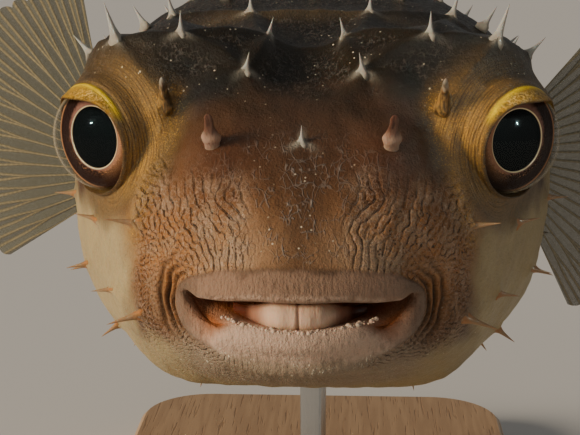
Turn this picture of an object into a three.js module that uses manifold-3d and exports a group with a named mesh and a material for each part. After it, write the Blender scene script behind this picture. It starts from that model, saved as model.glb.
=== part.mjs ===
// Porcupine pufferfish of the short-spined kind, life size, as a still display model on two rods and a base.
// Millimetres, +Z up. The snout points along -Y and the fish's own left side is +X.
// The origin is the centre of the base's underside.
//
// The fish is worked out in its own frame, as THREE.Vector3(x, s, h): x across, s back from the front of the
// lips, h above the middle of the mouth. The last group moves that frame onto the stand.
import * as THREE from "three";
import { mergeVertices } from "three/addons/utils/BufferGeometryUtils.js";
import Module from "manifold-3d";

const wasm = await Module();
wasm.setup();

// ---- Driving dimensions -------------------------------------------------------------------------
const MOUTH_HEIGHT = 70; // middle of the mouth above the floor
const SNOUT_TO_ORIGIN = 85; // how far the origin lies behind the front of the lips
const GAP = 0.3; // clearance between touching pieces
const FAR = 400; // well past either end of the fish
const HEAD_END = 51.5; // station s of the cut between head and trunk
const TRUNK_END = 141; // station s of the cut between trunk and tail stalk

const AROUND = 44; // points in a ring of the body
const SPANS = [
  [0, 1],
  [2, 0.5],
  [7.5, 1 / 3],
  [10.5, 0.5],
  [13, 1],
  [16, 0.5],
  [18, 1],
]; // first station of a span, and the step between its rings
const EYE = { x: 29.7, s: 27, h: 20.8, radius: 8.7 };
const LIDS = { yaw: 42, pitch: -8, halfOpening: 63, radius: 9.5 };
const BROW = { x: 18, s: 33, h: 20, side: 20.5, front: 13, rear: 22, top: 18, bottom: 11.5 };
const BROW_EDGE = { square: 2.4, softness: 0.14 };
const NOSE = { x: 12.6, s: 14.6, h: 21.2, radius: 5, push: [0.3, -1.2, 0.75] };
const JOWL = { x: 20, s: 30, h: -16, radius: 9, push: [1.1, -0.45, -1.75] };
const ROD = { radius: 2, stations: [62, 100] };
const BASE = { length: 128, width: 84, thickness: 8, corner: 16, bevel: 1 };

// Stations from the gullet out over the lips and back to the tail. Each one is a ring given by its highest,
// widest and lowest points, and by how square its upper and lower halves are (2 is an ellipse).
const STATIONS = [
  { name: "gullet", top: [13, 1.6], side: [15, 9, 0.8], bottom: [13, -1.6], square: [2, 2] },
  { name: "mouth", top: [6, 2.4], side: [11.5, 13.2, 1.1], bottom: [6, -2.8], square: [2.2, 2] },
  { name: "inner lip", top: [1.6, 1.7], side: [8.6, 14.8, 1.2], bottom: [0.9, -2.2], square: [2.6, 2] },
  { name: "lip crest", top: [0.2, 3.4], side: [7.4, 16.4, 0.6], bottom: [0, -4.2], square: [2.6, 2.2] },
  { name: "outer lip", top: [1.2, 5.6], side: [8.4, 17.9, -0.2], bottom: [1.6, -7.6], square: [2.6, 2.3] },
  { name: "lip groove", top: [2.2, 7.2], side: [10.4, 18.6, -0.2], bottom: [3.6, -9.6], square: [2.5, 2.3] },
  { name: "muzzle", top: [5, 12.6], side: [12.4, 22.2, 0.6], bottom: [8.6, -12], square: [2.4, 2.4] },
  { name: "snout", top: [10, 18.6], side: [16.4, 26, 2], bottom: [14.6, -14.8], square: [2.4, 2.5] },
  { name: "nose", top: [17.2, 25.4], side: [21.6, 29.2, 3.6], bottom: [21.6, -17.6], square: [2.5, 2.5] },
  { name: "eyes", top: [27.4, 31.6], side: [29.6, 32.8, 5], bottom: [30, -20.2], square: [2.7, 2.5] },
  { name: "nape", top: [42, 36.6], side: [42, 38, 5.4], bottom: [41, -22.4], square: [2.8, 2.5] },
  { name: "gills", top: [56, 39.2], side: [55, 40.3, 6], bottom: [55, -25.2], square: [2.75, 2.4] },
  { name: "shoulder", top: [73, 40.8], side: [72, 41, 7], bottom: [72, -28.6], square: [2.7, 2.3] },
  { name: "middle", top: [91, 40.1], side: [91, 39.2, 7.6], bottom: [91, -30.4], square: [2.5, 2.2] },
  { name: "flank", top: [109, 37.2], side: [109, 34.4, 8.2], bottom: [109, -27], square: [2.4, 2.2] },
  { name: "loin", top: [126, 32.4], side: [126, 26.6, 9.2], bottom: [126, -18.8], square: [2.2, 2.1] },
  { name: "fin roots", top: [142, 26.2], side: [142, 17.6, 10.6], bottom: [142, -8.4], square: [2.1, 2] },
  { name: "stalk", top: [156, 21.2], side: [156, 9.8, 11.8], bottom: [156, 0.8], square: [2, 2] },
  { name: "tail root", top: [166, 19.8], side: [166, 6, 12], bottom: [166, 4.2], square: [2, 2] },
  { name: "tail end", top: [172.4, 19.6], side: [172.4, 2.6, 12], bottom: [172.4, 4.4], square: [2, 2] },
];
const LAST = STATIONS.length - 1;

const radians = THREE.MathUtils.degToRad;
const smooth = THREE.MathUtils.smoothstep;
const lerp = THREE.MathUtils.lerp;

// ---- The skin as a formula ----------------------------------------------------------------------
// A Catmull-Rom curve through one number of every station, at the fractional station v.
function along(read, v) {
  const i = Math.min(Math.floor(v), LAST - 1);
  const f = v - i;
  const [a, b, c, d] = [i - 1, i, i + 1, i + 2].map((k) => read(STATIONS[Math.min(Math.max(k, 0), LAST)]));
  return b + 0.5 * f * (c - a + f * (2 * a - 5 * b + 4 * c - d + f * (3 * (b - c) + d - a)));
}

// The plain ring of station v at the angle t, with t = 0 on +X and 90 degrees on the back.
function ringPoint(v, t) {
  const above = Math.sin(t) >= 0;
  const half = above ? "top" : "bottom";
  const square = along((k) => k.square[above ? 0 : 1], v);
  const reach = Math.pow(Math.abs(Math.cos(t)) ** square + Math.abs(Math.sin(t)) ** square, -1 / square);
  const side = [0, 1, 2].map((k) => along((q) => q.side[k], v));
  const edge = [0, 1].map((k) => along((q) => q[half][k], v));
  const lean = Math.sin(t) ** 2;
  return new THREE.Vector3(
    side[1] * Math.cos(t) * reach,
    lerp(side[0], edge[0], lean),
    side[2] + (edge[1] - side[2]) * Math.abs(Math.sin(t)) * reach,
  );
}

const mirrored = (p, spot) => new THREE.Vector3(Math.sign(p.x || 1) * spot.x, spot.s, spot.h);

// Pushes the skin out to a squarish egg round the brow and eye, with a soft edge.
function raiseBrow(p) {
  const centre = mirrored(p, BROW);
  const q = p.clone().sub(centre);
  const reach = [BROW.side, q.y < 0 ? BROW.front : BROW.rear, q.z > 0 ? BROW.top : BROW.bottom];
  const sum = q.toArray().reduce((total, c, k) => total + (Math.abs(c) / reach[k]) ** BROW_EDGE.square, 0);
  const r = Math.max(sum ** (1 / BROW_EDGE.square), 0.05);
  return q.multiplyScalar(softMax(r, 1, BROW_EDGE.softness) / r).add(centre);
}

// The larger of two numbers, rounded off where they are closer than k.
function softMax(a, b, k) {
  const blend = Math.max(k - Math.abs(a - b), 0) / k;
  return Math.max(a, b) + (blend * blend * k) / 4;
}

// A soft round swelling, pushed out sideways, back and up.
function swell(p, spot) {
  const away = p.distanceTo(mirrored(p, spot)) / spot.radius;
  const [x, s, h] = spot.push;
  return new THREE.Vector3(Math.sign(p.x || 1) * x, s, h).multiplyScalar(Math.exp(-away * away)).add(p);
}

// The finished skin: from the muzzle to the shoulder the ring carries the brow, nose and jowl.
function skinPoint(v, t) {
  const p = ringPoint(v, t);
  const onHead = smooth(v, 4.5, 6.5) * (1 - smooth(v, 12, 13));
  if (onHead === 0) return p;
  return swell(swell(p.clone().lerp(raiseBrow(p), onHead), NOSE), JOWL);
}

// ---- Meshes and solids --------------------------------------------------------------------------
// A closed mesh, facing out, from rows of points that run round in a ring. The end rows are closed straight
// across, from each point to the one as far from the row's end as it is from the row's start.
function ringMesh(rows) {
  const n = rows[0].length;
  const last = rows.length - 1;
  const index = [];
  const quad = (a, b, c, d) => index.push(a, b, c, a, c, d);
  for (let i = 0; i < n; i++) {
    const next = (i + 1) % n;
    for (let j = 0; j < last; j++) quad(j * n + i, (j + 1) * n + i, (j + 1) * n + next, j * n + next);
  }
  for (let i = 0; i < n / 2 - 1; i++) {
    quad(i, i + 1, n - 2 - i, n - 1 - i);
    quad(last * n + i, last * n + n - 1 - i, last * n + n - 2 - i, last * n + i + 1);
  }
  const points = rows.flat();
  let volume = 0;
  for (let k = 0; k < index.length; k += 3) {
    const [a, b, c] = index.slice(k, k + 3).map((corner) => points[corner]);
    volume += a.dot(b.clone().cross(c));
  }
  const geometry = new THREE.BufferGeometry().setFromPoints(points);
  geometry.setIndex(volume > 0 ? index : index.reverse());
  return geometry;
}

function solid(geometry) {
  const bare = geometry.clone();
  for (const name of Object.keys(bare.attributes)) if (name !== "position") bare.deleteAttribute(name);
  const merged = mergeVertices(bare, 1e-4);
  const vertProperties = merged.attributes.position.array;
  const triVerts = new Uint32Array(merged.index.array);
  return new wasm.Manifold(new wasm.Mesh({ numProp: 3, vertProperties, triVerts }));
}

function geometryOf(made) {
  const m = made.getMesh();
  const places = new Float32Array(m.numVert * 3);
  for (let i = 0; i < m.numVert; i++) {
    const place = m.vertProperties.subarray(i * m.numProp, i * m.numProp + 3);
    places.set(place, i * 3);
  }
  const geometry = new THREE.BufferGeometry().setAttribute("position", new THREE.BufferAttribute(places, 3));
  geometry.setIndex(new THREE.BufferAttribute(m.triVerts, 1));
  geometry.computeVertexNormals();
  return geometry;
}

const placed = (geometry, matrix) => solid(geometry.clone().applyMatrix4(matrix));

// Stands an upright shape at a point, along a direction.
function stoodAt(root, way) {
  const turn = new THREE.Quaternion().setFromUnitVectors(new THREE.Vector3(0, 1, 0), way);
  return new THREE.Matrix4().compose(root, turn, new THREE.Vector3(1, 1, 1));
}

// ---- Body ---------------------------------------------------------------------------------------
// Rings are closest round the eyes; each span gives its first station and the step to the next span.
const rings = [];
SPANS.forEach(([first, step], k) => {
  const end = k + 1 < SPANS.length ? SPANS[k + 1][0] : LAST + step / 2;
  for (let v = first; v < end - 1e-6; v += step) rings.push(v);
});
const bodyRows = rings.map((v) => {
  const row = [];
  for (let i = 0; i < AROUND; i++) row.push(skinPoint(v, (2 * Math.PI * i) / AROUND));
  return row;
});
const bodyGeometry = ringMesh(bodyRows);
const plainBody = solid(bodyGeometry);

// The same body grown by the gap, which cuts what meets the skin.
function grown(geometry, by) {
  const g = geometry.clone();
  g.computeVertexNormals();
  const { position, normal } = g.attributes;
  for (let i = 0; i < position.count; i++) {
    const n = new THREE.Vector3().fromBufferAttribute(normal, i).multiplyScalar(by);
    position.setXYZ(i, ...new THREE.Vector3().fromBufferAttribute(position, i).add(n));
  }
  return g;
}
const clearBody = solid(grown(bodyGeometry, GAP));

// ---- Spines -------------------------------------------------------------------------------------
// Head spines: station, angle in degrees, length, and how far each one leans back and up from the skin's
// normal. All but the middle one stand on both sides.
const HEAD_SPINES = [
  { name: "forehead", v: 7.51, t: 90, length: 3.6, lean: 0.45, lift: 0.1, middle: true },
  { name: "crown front", v: 8.73, t: 72.3, length: 3.5, lean: 0.4, lift: 0.8 },
  { name: "crown inner", v: 9.37, t: 78, length: 3.6, lean: 0.1, lift: 0.8 },
  { name: "crown outer", v: 9.09, t: 59, length: 3.8, lean: 0.4, lift: 0.5 },
  { name: "inner eye", v: 8.48, t: 53, length: 4.7, lean: 0.3, lift: 1 },
  { name: "brow", v: 9.16, t: 50, length: 5.6, lean: 0.4, lift: 0.3 },
  { name: "brow side", v: 9.55, t: 44, length: 4.2, lean: 0.3, lift: 0 },
  { name: "brow rear", v: 10.3, t: 44, length: 4.4, lean: 0.3, lift: 0.2 },
  { name: "nape inner", v: 10.6, t: 76, length: 3.8, lean: 0.4, lift: 0.2 },
  { name: "nape outer", v: 11.25, t: 57, length: 4.2, lean: 0.4, lift: 0.2 },
  { name: "cheek", v: 7, t: 26, length: 4.6, lean: 0.5, lift: -0.1 },
  { name: "mouth corner", v: 6.7, t: -21, length: 5, lean: 0.5, lift: 0 },
  { name: "cheek low", v: 8.31, t: -17.4, length: 3.2, lean: 0.4, lift: 0.1 },
  { name: "below eye", v: 9.03, t: 4, length: 3.4, lean: 0.4, lift: 0.2 },
  { name: "jaw side", v: 9.6, t: -37, length: 3.6, lean: 0.3, lift: 0 },
  { name: "gill front", v: 9.75, t: -16.4, length: 3.4, lean: 0.3, lift: 0 },
  { name: "gill upper", v: 10.5, t: 3, length: 3.8, lean: 0.3, lift: 0 },
  { name: "gill low", v: 10.8, t: -22, length: 3.8, lean: 0.3, lift: 0 },
  { name: "throat side", v: 10.6, t: -47, length: 3.2, lean: 0.4, lift: 0 },
  { name: "throat", v: 9.7, t: -64, length: 2.8, lean: 0.4, lift: 0 },
  { name: "throat inner", v: 10.5, t: -80, length: 2.8, lean: 0.4, lift: 0 },
];
const TRUNK_ROWS = { first: 11.8, step: 0.64, rows: 7, perRow: 17, length: 4.6, bellyLength: 3.2, lean: 0.5 };
const SPINE = { base: 0.3, taper: 0.17, sunk: 2 };

function surfaceNormal(v, t) {
  const e = 1e-3;
  const a = skinPoint(v + e, t).sub(skinPoint(v - e, t));
  const b = skinPoint(v, t + e).sub(skinPoint(v, t - e));
  const n = b.cross(a).normalize();
  const middle = new THREE.Vector3(0, skinPoint(v, t).y + 4, 8);
  return n.dot(skinPoint(v, t).sub(middle)) < 0 ? n.negate() : n;
}

function spineAt({ v, t, length, lean, lift }) {
  const angle = radians(t);
  const root = skinPoint(v, angle);
  const way = surfaceNormal(v, angle).add(new THREE.Vector3(0, lean, lift)).normalize();
  const height = length + SPINE.sunk;
  const cone = new THREE.ConeGeometry(SPINE.base + SPINE.taper * length, height, 3, 1);
  cone.translate(0, height / 2 - SPINE.sunk, 0);
  return placed(cone, stoodAt(root, way));
}

// The rows leave the skin bare where a fin or a rod meets it.
function isBare(p) {
  const pectoral = Math.abs(p.x) > 30 && p.y > 54 && p.y < 76 && p.z > -2 && p.z < 27;
  const median = Math.abs(p.x) < 4 && p.y > 127;
  const rod = Math.abs(p.x) < 5 && p.z < 0 && ROD.stations.some((s) => Math.abs(p.y - s) < 6);
  return pectoral || median || rod;
}

const spines = [];
for (const spine of HEAD_SPINES) {
  spines.push(spineAt(spine));
  if (!spine.middle) spines.push(spineAt({ ...spine, t: 180 - spine.t }));
}
for (let row = 0; row < TRUNK_ROWS.rows; row++)
  for (let k = 0; k < TRUNK_ROWS.perRow; k++) {
    const v = TRUNK_ROWS.first + row * TRUNK_ROWS.step;
    const t = 90 + ((k + (row % 2) / 2) * 360) / TRUNK_ROWS.perRow;
    const root = skinPoint(v, radians(t));
    if (isBare(root)) continue;
    const belly = (1 - Math.sin(radians(t))) / 2;
    const length = lerp(TRUNK_ROWS.length, TRUNK_ROWS.bellyLength, belly);
    spines.push(spineAt({ v, t, length, lean: TRUNK_ROWS.lean, lift: 0 }));
  }

// ---- Eyes, nose and beak ------------------------------------------------------------------------
const eyeBall = (sign, extra) => {
  const ball = new THREE.SphereGeometry(EYE.radius + extra, 16, 11);
  return placed(ball, new THREE.Matrix4().makeTranslation(sign * EYE.x, EYE.s, EYE.h));
};

// What is cut from the head for an eye: room for the ball, and a round opening between the lids.
function eyeOpening(sign) {
  const [yaw, pitch] = [radians(LIDS.yaw), radians(LIDS.pitch)];
  const axis = new THREE.Vector3(sign * Math.sin(yaw), -Math.cos(yaw), Math.tan(pitch)).normalize();
  const reach = LIDS.radius + 2;
  const cone = new THREE.ConeGeometry(reach * Math.tan(radians(LIDS.halfOpening)), reach, 24, 1);
  cone.rotateX(Math.PI).translate(0, reach / 2, 0);
  const cut = placed(cone, stoodAt(new THREE.Vector3(sign * EYE.x, EYE.s, EYE.h), axis));
  return cut.intersect(eyeBall(sign, LIDS.radius + 1 - EYE.radius)).add(eyeBall(sign, GAP));
}

// A nasal tentacle: a stubby, slightly flattened finger that stands up from the skin over the snout.
const TENTACLE = {
  root: [12.8, 13.2, 21.8],
  way: [0.06, -0.52, 0.85],
  flatness: 0.8,
  profile: [
    [0, -1],
    [1.3, -1],
    [1.4, 0.8],
    [1.15, 3],
    [0.9, 4.6],
    [0, 5.5],
  ],
};
function nasalTentacle(sign) {
  const finger = new THREE.LatheGeometry(
    TENTACLE.profile.map(([x, y]) => new THREE.Vector2(x, y)),
    8,
  );
  finger.scale(1, 1, TENTACLE.flatness);
  const [root, way] = [TENTACLE.root, TENTACLE.way].map(([x, s, h]) => new THREE.Vector3(sign * x, s, h));
  return placed(finger, stoodAt(root, way.normalize())).subtract(clearBody);
}

// One half of the beak: a curved plate across the front of the mouth, thinner and lower towards its ends.
const BEAK = { halfWidth: 10.5, curve: 4.4, thick: 2.2, endThick: 0.8, tall: 0.5, endTall: 0.22 };
function beak(low, high, forward) {
  const rows = [];
  const [steps, sides] = [8, 6];
  for (let k = 0; k <= steps; k++) {
    const a = lerp(-1, 1, k / steps);
    const middle = new THREE.Vector3(a * BEAK.halfWidth, forward + BEAK.curve * a * a, (low + high) / 2);
    const thick = lerp(BEAK.thick, BEAK.endThick, a * a);
    const tall = (high - low) * lerp(BEAK.tall, BEAK.endTall, a * a);
    const row = [];
    for (let i = 0; i < sides; i++) {
      const turn = (2 * Math.PI * i) / sides;
      row.push(new THREE.Vector3(0, thick * Math.cos(turn), tall * Math.sin(turn)).add(middle));
    }
    rows.push(row);
  }
  return solid(ringMesh(rows)).subtract(clearBody);
}

// ---- Fins ---------------------------------------------------------------------------------------
// A thin fan: `point(a, b)` gives its middle surface, with a across the rays and b from root to margin.
function finBlade(point, { across, out, thick, thin }) {
  const offset = (a, b, sign) => {
    const e = 1e-3;
    const da = point(a + e, b).sub(point(a - e, b));
    const db = point(a, b + e).sub(point(a, b - e));
    const n = da.cross(db).normalize();
    return point(a, b).addScaledVector(n, (sign * lerp(thick, thin, b)) / 2);
  };
  const rows = [];
  for (let j = 0; j <= out; j++) {
    const row = [];
    for (let i = 0; i <= across; i++) row.push(offset(i / across, j / out, 1));
    for (let i = across; i >= 0; i--) row.push(offset(i / across, j / out, -1));
    rows.push(row);
  }
  return solid(ringMesh(rows)).subtract(clearBody);
}

// Fan of a fin in a plane: root line, first and last ray by angle, and a margin that is rounded between them.
function fanPoint({ root, rootLength, rootWay, first, last, lengths, plane, sweep, cup }) {
  return (a, b) => {
    const angle = radians(lerp(first, last, a));
    const bulge = lengths[1] - (lengths[0] + lengths[2]) / 2;
    const edge = lerp(lengths[0], lengths[2], a) + bulge * 4 * a * (1 - a);
    const start = root.clone().addScaledVector(rootWay, (a - 0.5) * rootLength);
    const ray = plane[0].clone().multiplyScalar(Math.cos(angle)).addScaledVector(plane[1], Math.sin(angle));
    const reach = b * edge;
    const bend = cup * (reach / 10) ** 2;
    return start.addScaledVector(ray, reach).addScaledVector(sweep, reach + bend);
  };
}

const up = new THREE.Vector3(0, 0, 1);
const back = new THREE.Vector3(0, 1, 0);

function pectoralFin(sign, turn) {
  const out = new THREE.Vector3(sign, 0, 0);
  return fanPoint({
    root: new THREE.Vector3(sign * 36.5, 62, 12),
    rootLength: 15,
    rootWay: new THREE.Vector3(0, 0.12, -1).normalize(),
    first: 77 + turn,
    last: -34 + turn,
    lengths: [21, 33, 26],
    plane: [out, up],
    sweep: back.clone().multiplyScalar(0.34),
    cup: 0.5,
  });
}

// A fin of the middle plane stands straight up or down, with a very slight curl to one side.
function medianFin(s, h, rootLength, slope, angles, lengths) {
  return fanPoint({
    root: new THREE.Vector3(0, s, h),
    rootLength,
    rootWay: new THREE.Vector3(0, ...slope).normalize(),
    first: angles[0],
    last: angles[1],
    lengths,
    plane: [back, up],
    sweep: new THREE.Vector3(0.02, 0, 0),
    cup: 0.3,
  });
}

const dorsal = medianFin(141, 26, 15, [1, -0.36], [74, 14], [20, 25, 17]);
const anal = medianFin(145, -5, 12, [1, 0.5], [-72, -12], [16, 22, 15]);
const tail = medianFin(170, 12.2, 13, [0, -1], [24, -24], [27, 30, 27]);

const PECTORAL = { across: 10, out: 4, thick: 1.6, thin: 0.55 };
const MEDIAN = { across: 7, out: 3, thick: 1.8, thin: 0.55 };

// ---- Stand --------------------------------------------------------------------------------------
function rod(station) {
  const height = MOUTH_HEIGHT;
  const bar = new THREE.CylinderGeometry(ROD.radius, ROD.radius, height, 16);
  bar.rotateX(Math.PI / 2);
  bar.translate(0, station, height / 2 - MOUTH_HEIGHT + BASE.thickness + GAP);
  return solid(bar).subtract(clearBody).decompose().sort((a, b) => b.volume() - a.volume())[0];
}

function standBase() {
  const [l, w, c] = [BASE.length / 2, BASE.width / 2, BASE.corner];
  const outline = new THREE.Shape();
  outline.moveTo(-w + c, -l);
  outline.lineTo(w - c, -l);
  outline.absarc(w - c, -l + c, c, -Math.PI / 2, 0);
  outline.lineTo(w, l - c);
  outline.absarc(w - c, l - c, c, 0, Math.PI / 2);
  outline.lineTo(-w + c, l);
  outline.absarc(-w + c, l - c, c, Math.PI / 2, Math.PI);
  outline.lineTo(-w, -l + c);
  outline.absarc(-w + c, -l + c, c, Math.PI, 1.5 * Math.PI);
  const plate = new THREE.ExtrudeGeometry(outline, {
    depth: BASE.thickness - BASE.bevel,
    bevelEnabled: true,
    bevelThickness: BASE.bevel,
    bevelSize: BASE.bevel,
    bevelOffset: -BASE.bevel,
    bevelSegments: 1,
    curveSegments: 6,
  });
  const keep = new THREE.BoxGeometry(2 * BASE.width, 2 * BASE.length, BASE.thickness);
  keep.translate(0, 0, BASE.thickness / 2);
  return solid(plate).intersect(solid(keep));
}

// ---- Assembly -----------------------------------------------------------------------------------
let whole = plainBody;
for (const spine of spines) whole = whole.add(spine);
for (const sign of [1, -1]) {
  const lidBall = eyeBall(sign, LIDS.radius - EYE.radius);
  whole = whole.add(lidBall).subtract(eyeOpening(sign));
}

// The length of the fish between two stations.
function lengthOf(made, from, to) {
  const slice = new THREE.BoxGeometry(FAR, to - from, FAR);
  slice.translate(0, (from + to) / 2, 0);
  return made.intersect(solid(slice));
}

const skin = new THREE.MeshStandardMaterial({ color: 0x8a6c48, roughness: 0.55 });
const paleSkin = new THREE.MeshStandardMaterial({ color: 0xb9ab95, roughness: 0.55 });
const finSkin = new THREE.MeshStandardMaterial({ color: 0x8f8a66, roughness: 0.5 });
const eyeGlass = new THREE.MeshStandardMaterial({ color: 0x1a1410, roughness: 0.08 });
const enamel = new THREE.MeshStandardMaterial({ color: 0xd9c3b0, roughness: 0.3 });
const lacquer = new THREE.MeshStandardMaterial({ color: 0x2b2a28, roughness: 0.35 });
const steel = new THREE.MeshStandardMaterial({ color: 0x9a9a98, roughness: 0.3, metalness: 1 });

const fish = new THREE.Group();
const stand = new THREE.Group();

function add(group, name, made, material) {
  const mesh = new THREE.Mesh(geometryOf(made), material);
  mesh.name = name;
  group.add(mesh);
}

add(fish, "head", lengthOf(whole, -FAR, HEAD_END - GAP / 2), skin);
add(fish, "trunk", lengthOf(whole, HEAD_END + GAP / 2, TRUNK_END - GAP / 2), skin);
add(fish, "tail_stalk", lengthOf(whole, TRUNK_END + GAP / 2, FAR), skin);
add(fish, "eye_left", eyeBall(1, 0), eyeGlass);
add(fish, "eye_right", eyeBall(-1, 0), eyeGlass);
add(fish, "nasal_tentacle_left", nasalTentacle(1), paleSkin);
add(fish, "nasal_tentacle_right", nasalTentacle(-1), paleSkin);
add(fish, "beak_upper", beak(0.1, 2.6, 3.4), enamel);
add(fish, "beak_lower", beak(-2.6, -0.4, 3.6), enamel);
add(fish, "pectoral_fin_left", finBlade(pectoralFin(1, -30), PECTORAL), finSkin);
add(fish, "pectoral_fin_right", finBlade(pectoralFin(-1, 0), PECTORAL), finSkin);
add(fish, "dorsal_fin", finBlade(dorsal, MEDIAN), finSkin);
add(fish, "anal_fin", finBlade(anal, MEDIAN), finSkin);
add(fish, "tail_fin", finBlade(tail, MEDIAN), finSkin);
fish.position.set(0, -SNOUT_TO_ORIGIN, MOUTH_HEIGHT);

add(stand, "stand_rod_front", rod(ROD.stations[0]), steel);
add(stand, "stand_rod_rear", rod(ROD.stations[1]), steel);
stand.children.forEach((mesh) => mesh.position.copy(fish.position));
add(stand, "stand_base", standBase(), lacquer);

const model = new THREE.Group();
model.add(fish, stand);
export default model;
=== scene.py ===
"""Looks of a porcupine pufferfish: skin, spines, eyes, beak, fins and stand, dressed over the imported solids.

The fish has its own frame in millimetres: x across, s back from the front of the lips, h above the middle of
the mouth. Everything is worked out there and moved into the world at the end, by `to_world`.
"""

import math

import bpy
import numpy as np
from mathutils import Matrix, Vector


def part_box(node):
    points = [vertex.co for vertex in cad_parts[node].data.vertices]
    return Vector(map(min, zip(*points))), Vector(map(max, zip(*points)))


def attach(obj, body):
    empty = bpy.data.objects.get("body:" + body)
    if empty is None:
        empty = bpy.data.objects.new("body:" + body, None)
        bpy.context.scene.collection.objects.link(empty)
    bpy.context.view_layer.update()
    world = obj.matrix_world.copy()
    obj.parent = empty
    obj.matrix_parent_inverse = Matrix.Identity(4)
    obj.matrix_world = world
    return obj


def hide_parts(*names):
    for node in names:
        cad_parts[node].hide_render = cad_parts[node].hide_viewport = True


bl_info = {
    "name": "Porcupine Pufferfish",
    "version": (1, 0, 0),
    "blender": (4, 5, 0),
    "location": "3D View > Sidebar > Pufferfish",
    "description": "Builds the skin, spines, eyes, beak, fins and stand of a still pufferfish model",
    "category": "Add Mesh",
}

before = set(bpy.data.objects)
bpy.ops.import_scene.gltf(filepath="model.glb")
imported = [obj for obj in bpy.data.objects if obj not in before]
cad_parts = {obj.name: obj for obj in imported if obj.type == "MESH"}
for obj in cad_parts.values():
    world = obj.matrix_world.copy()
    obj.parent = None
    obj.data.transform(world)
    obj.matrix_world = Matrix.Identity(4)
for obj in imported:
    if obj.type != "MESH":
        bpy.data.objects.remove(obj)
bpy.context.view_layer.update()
MM = 0.001
BLACK = (0.0, 0.0, 0.0)

# ---- The fish's own frame ----
EYE_S = 27.0
EYE_H = 20.8


def eye_box():
    """Middle and half width of the left eye's solid, in millimetres of the world."""
    low, high = (np.array(corner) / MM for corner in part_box("eye_left"))
    return (low + high) / 2, (high[1] - low[1]) / 2


EYE_WORLD, EYE_RADIUS = eye_box()
EYE_X = EYE_WORLD[0]
LIPS_Y = EYE_WORLD[1] - EYE_S
MOUTH_Z = EYE_WORLD[2] - EYE_H


def to_world(points):
    """Metres of the world for points (x, s, h) of the fish."""
    return (np.asarray(points, float) + np.array([0.0, LIPS_Y, MOUTH_Z])) * MM


# Stations from the gullet out over the lips and back to the tail: name, highest point (s, h), widest point
# (s, x, h), lowest point (s, h), and how square the ring is above and below. They are those of the solids.
STATIONS = (
    ("gullet", (13, 1.6), (15, 9, 0.8), (13, -1.6), (2, 2)),
    ("mouth", (6, 2.4), (11.5, 13.2, 1.1), (6, -2.8), (2.2, 2)),
    ("inner lip", (1.6, 1.7), (8.6, 14.8, 1.2), (0.9, -2.2), (2.6, 2)),
    ("lip crest", (0.2, 3.4), (7.4, 16.4, 0.6), (0, -4.2), (2.6, 2.2)),
    ("outer lip", (1.2, 5.6), (8.4, 17.9, -0.2), (1.6, -7.6), (2.6, 2.3)),
    ("lip groove", (2.2, 7.2), (10.4, 18.6, -0.2), (3.6, -9.6), (2.5, 2.3)),
    ("muzzle", (5, 12.6), (12.4, 22.2, 0.6), (8.6, -12), (2.4, 2.4)),
    ("snout", (10, 18.6), (16.4, 26, 2), (14.6, -14.8), (2.4, 2.5)),
    ("nose", (17.2, 25.4), (21.6, 29.2, 3.6), (21.6, -17.6), (2.5, 2.5)),
    ("eyes", (27.4, 31.6), (29.6, 32.8, 5), (30, -20.2), (2.7, 2.5)),
    ("nape", (42, 36.6), (42, 38, 5.4), (41, -22.4), (2.8, 2.5)),
    ("gills", (56, 39.2), (55, 40.3, 6), (55, -25.2), (2.75, 2.4)),
    ("shoulder", (73, 40.8), (72, 41, 7), (72, -28.6), (2.7, 2.3)),
    ("middle", (91, 40.1), (91, 39.2, 7.6), (91, -30.4), (2.5, 2.2)),
    ("flank", (109, 37.2), (109, 34.4, 8.2), (109, -27), (2.4, 2.2)),
    ("loin", (126, 32.4), (126, 26.6, 9.2), (126, -18.8), (2.2, 2.1)),
    ("fin roots", (142, 26.2), (142, 17.6, 10.6), (142, -8.4), (2.1, 2)),
    ("stalk", (156, 21.2), (156, 9.8, 11.8), (156, 0.8), (2, 2)),
    ("tail root", (166, 19.8), (166, 6, 12), (166, 4.2), (2, 2)),
    ("tail end", (172.4, 19.6), (172.4, 2.6, 12), (172.4, 4.4), (2, 2)),
)
TABLE = np.array([top + side + bottom + square for _, top, side, bottom, square in STATIONS], float)
LAST = len(STATIONS) - 1

# The egg that raises the brow and the orbit, and two soft swellings. All are mirrored left and right.
BROW = {"spot": (18, 33, 20), "front": 13, "rear": 22, "side": 20.5, "top": 18, "bottom": 11.5}
BROW_SQUARE = 2.4
BROW_SOFTNESS = 0.14
SWELLINGS = (
    {"spot": (12.6, 14.6, 21.2), "radius": 5, "push": (0.3, -1.2, 0.75)},
    {"spot": (20, 30, -16), "radius": 9, "push": (1.1, -0.45, -1.75)},
)

# Skin rows between stations, as (first station, last station, rows). They are closest on the face.
SKIN_ROWS = ((0, 2, 22), (2, 6, 96), (6, 8, 116), (8, 11, 190), (11, 13, 56), (13, 19, 90))
SKIN_AROUND = 840
SKIN_INSET = 0.22

# Fine lines of the face: rows that carry them, number of wave packets and their size in line gaps.
LINES = {"rows": (3.9, 9.3), "count": 4200, "spread": 1.0, "seed": 3}

# Lids: the axis of the opening, how far its edge lies from that axis, the ball that the lids lie on, and the
# cup behind the globe. Skin further than EYE_REACH from the eye's middle stays. Then the iris and pupil.
LID = {"yaw": 42, "pitch": -8, "opening": 61, "radius": 9.35, "cup_radius": 8.15, "cup_floor": 1.0}
EYE_REACH = 16
IRIS = {"yaw": 35, "pitch": -1.5, "plane": 3.4, "pupil": 4.7, "radius": 7.8}

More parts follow.
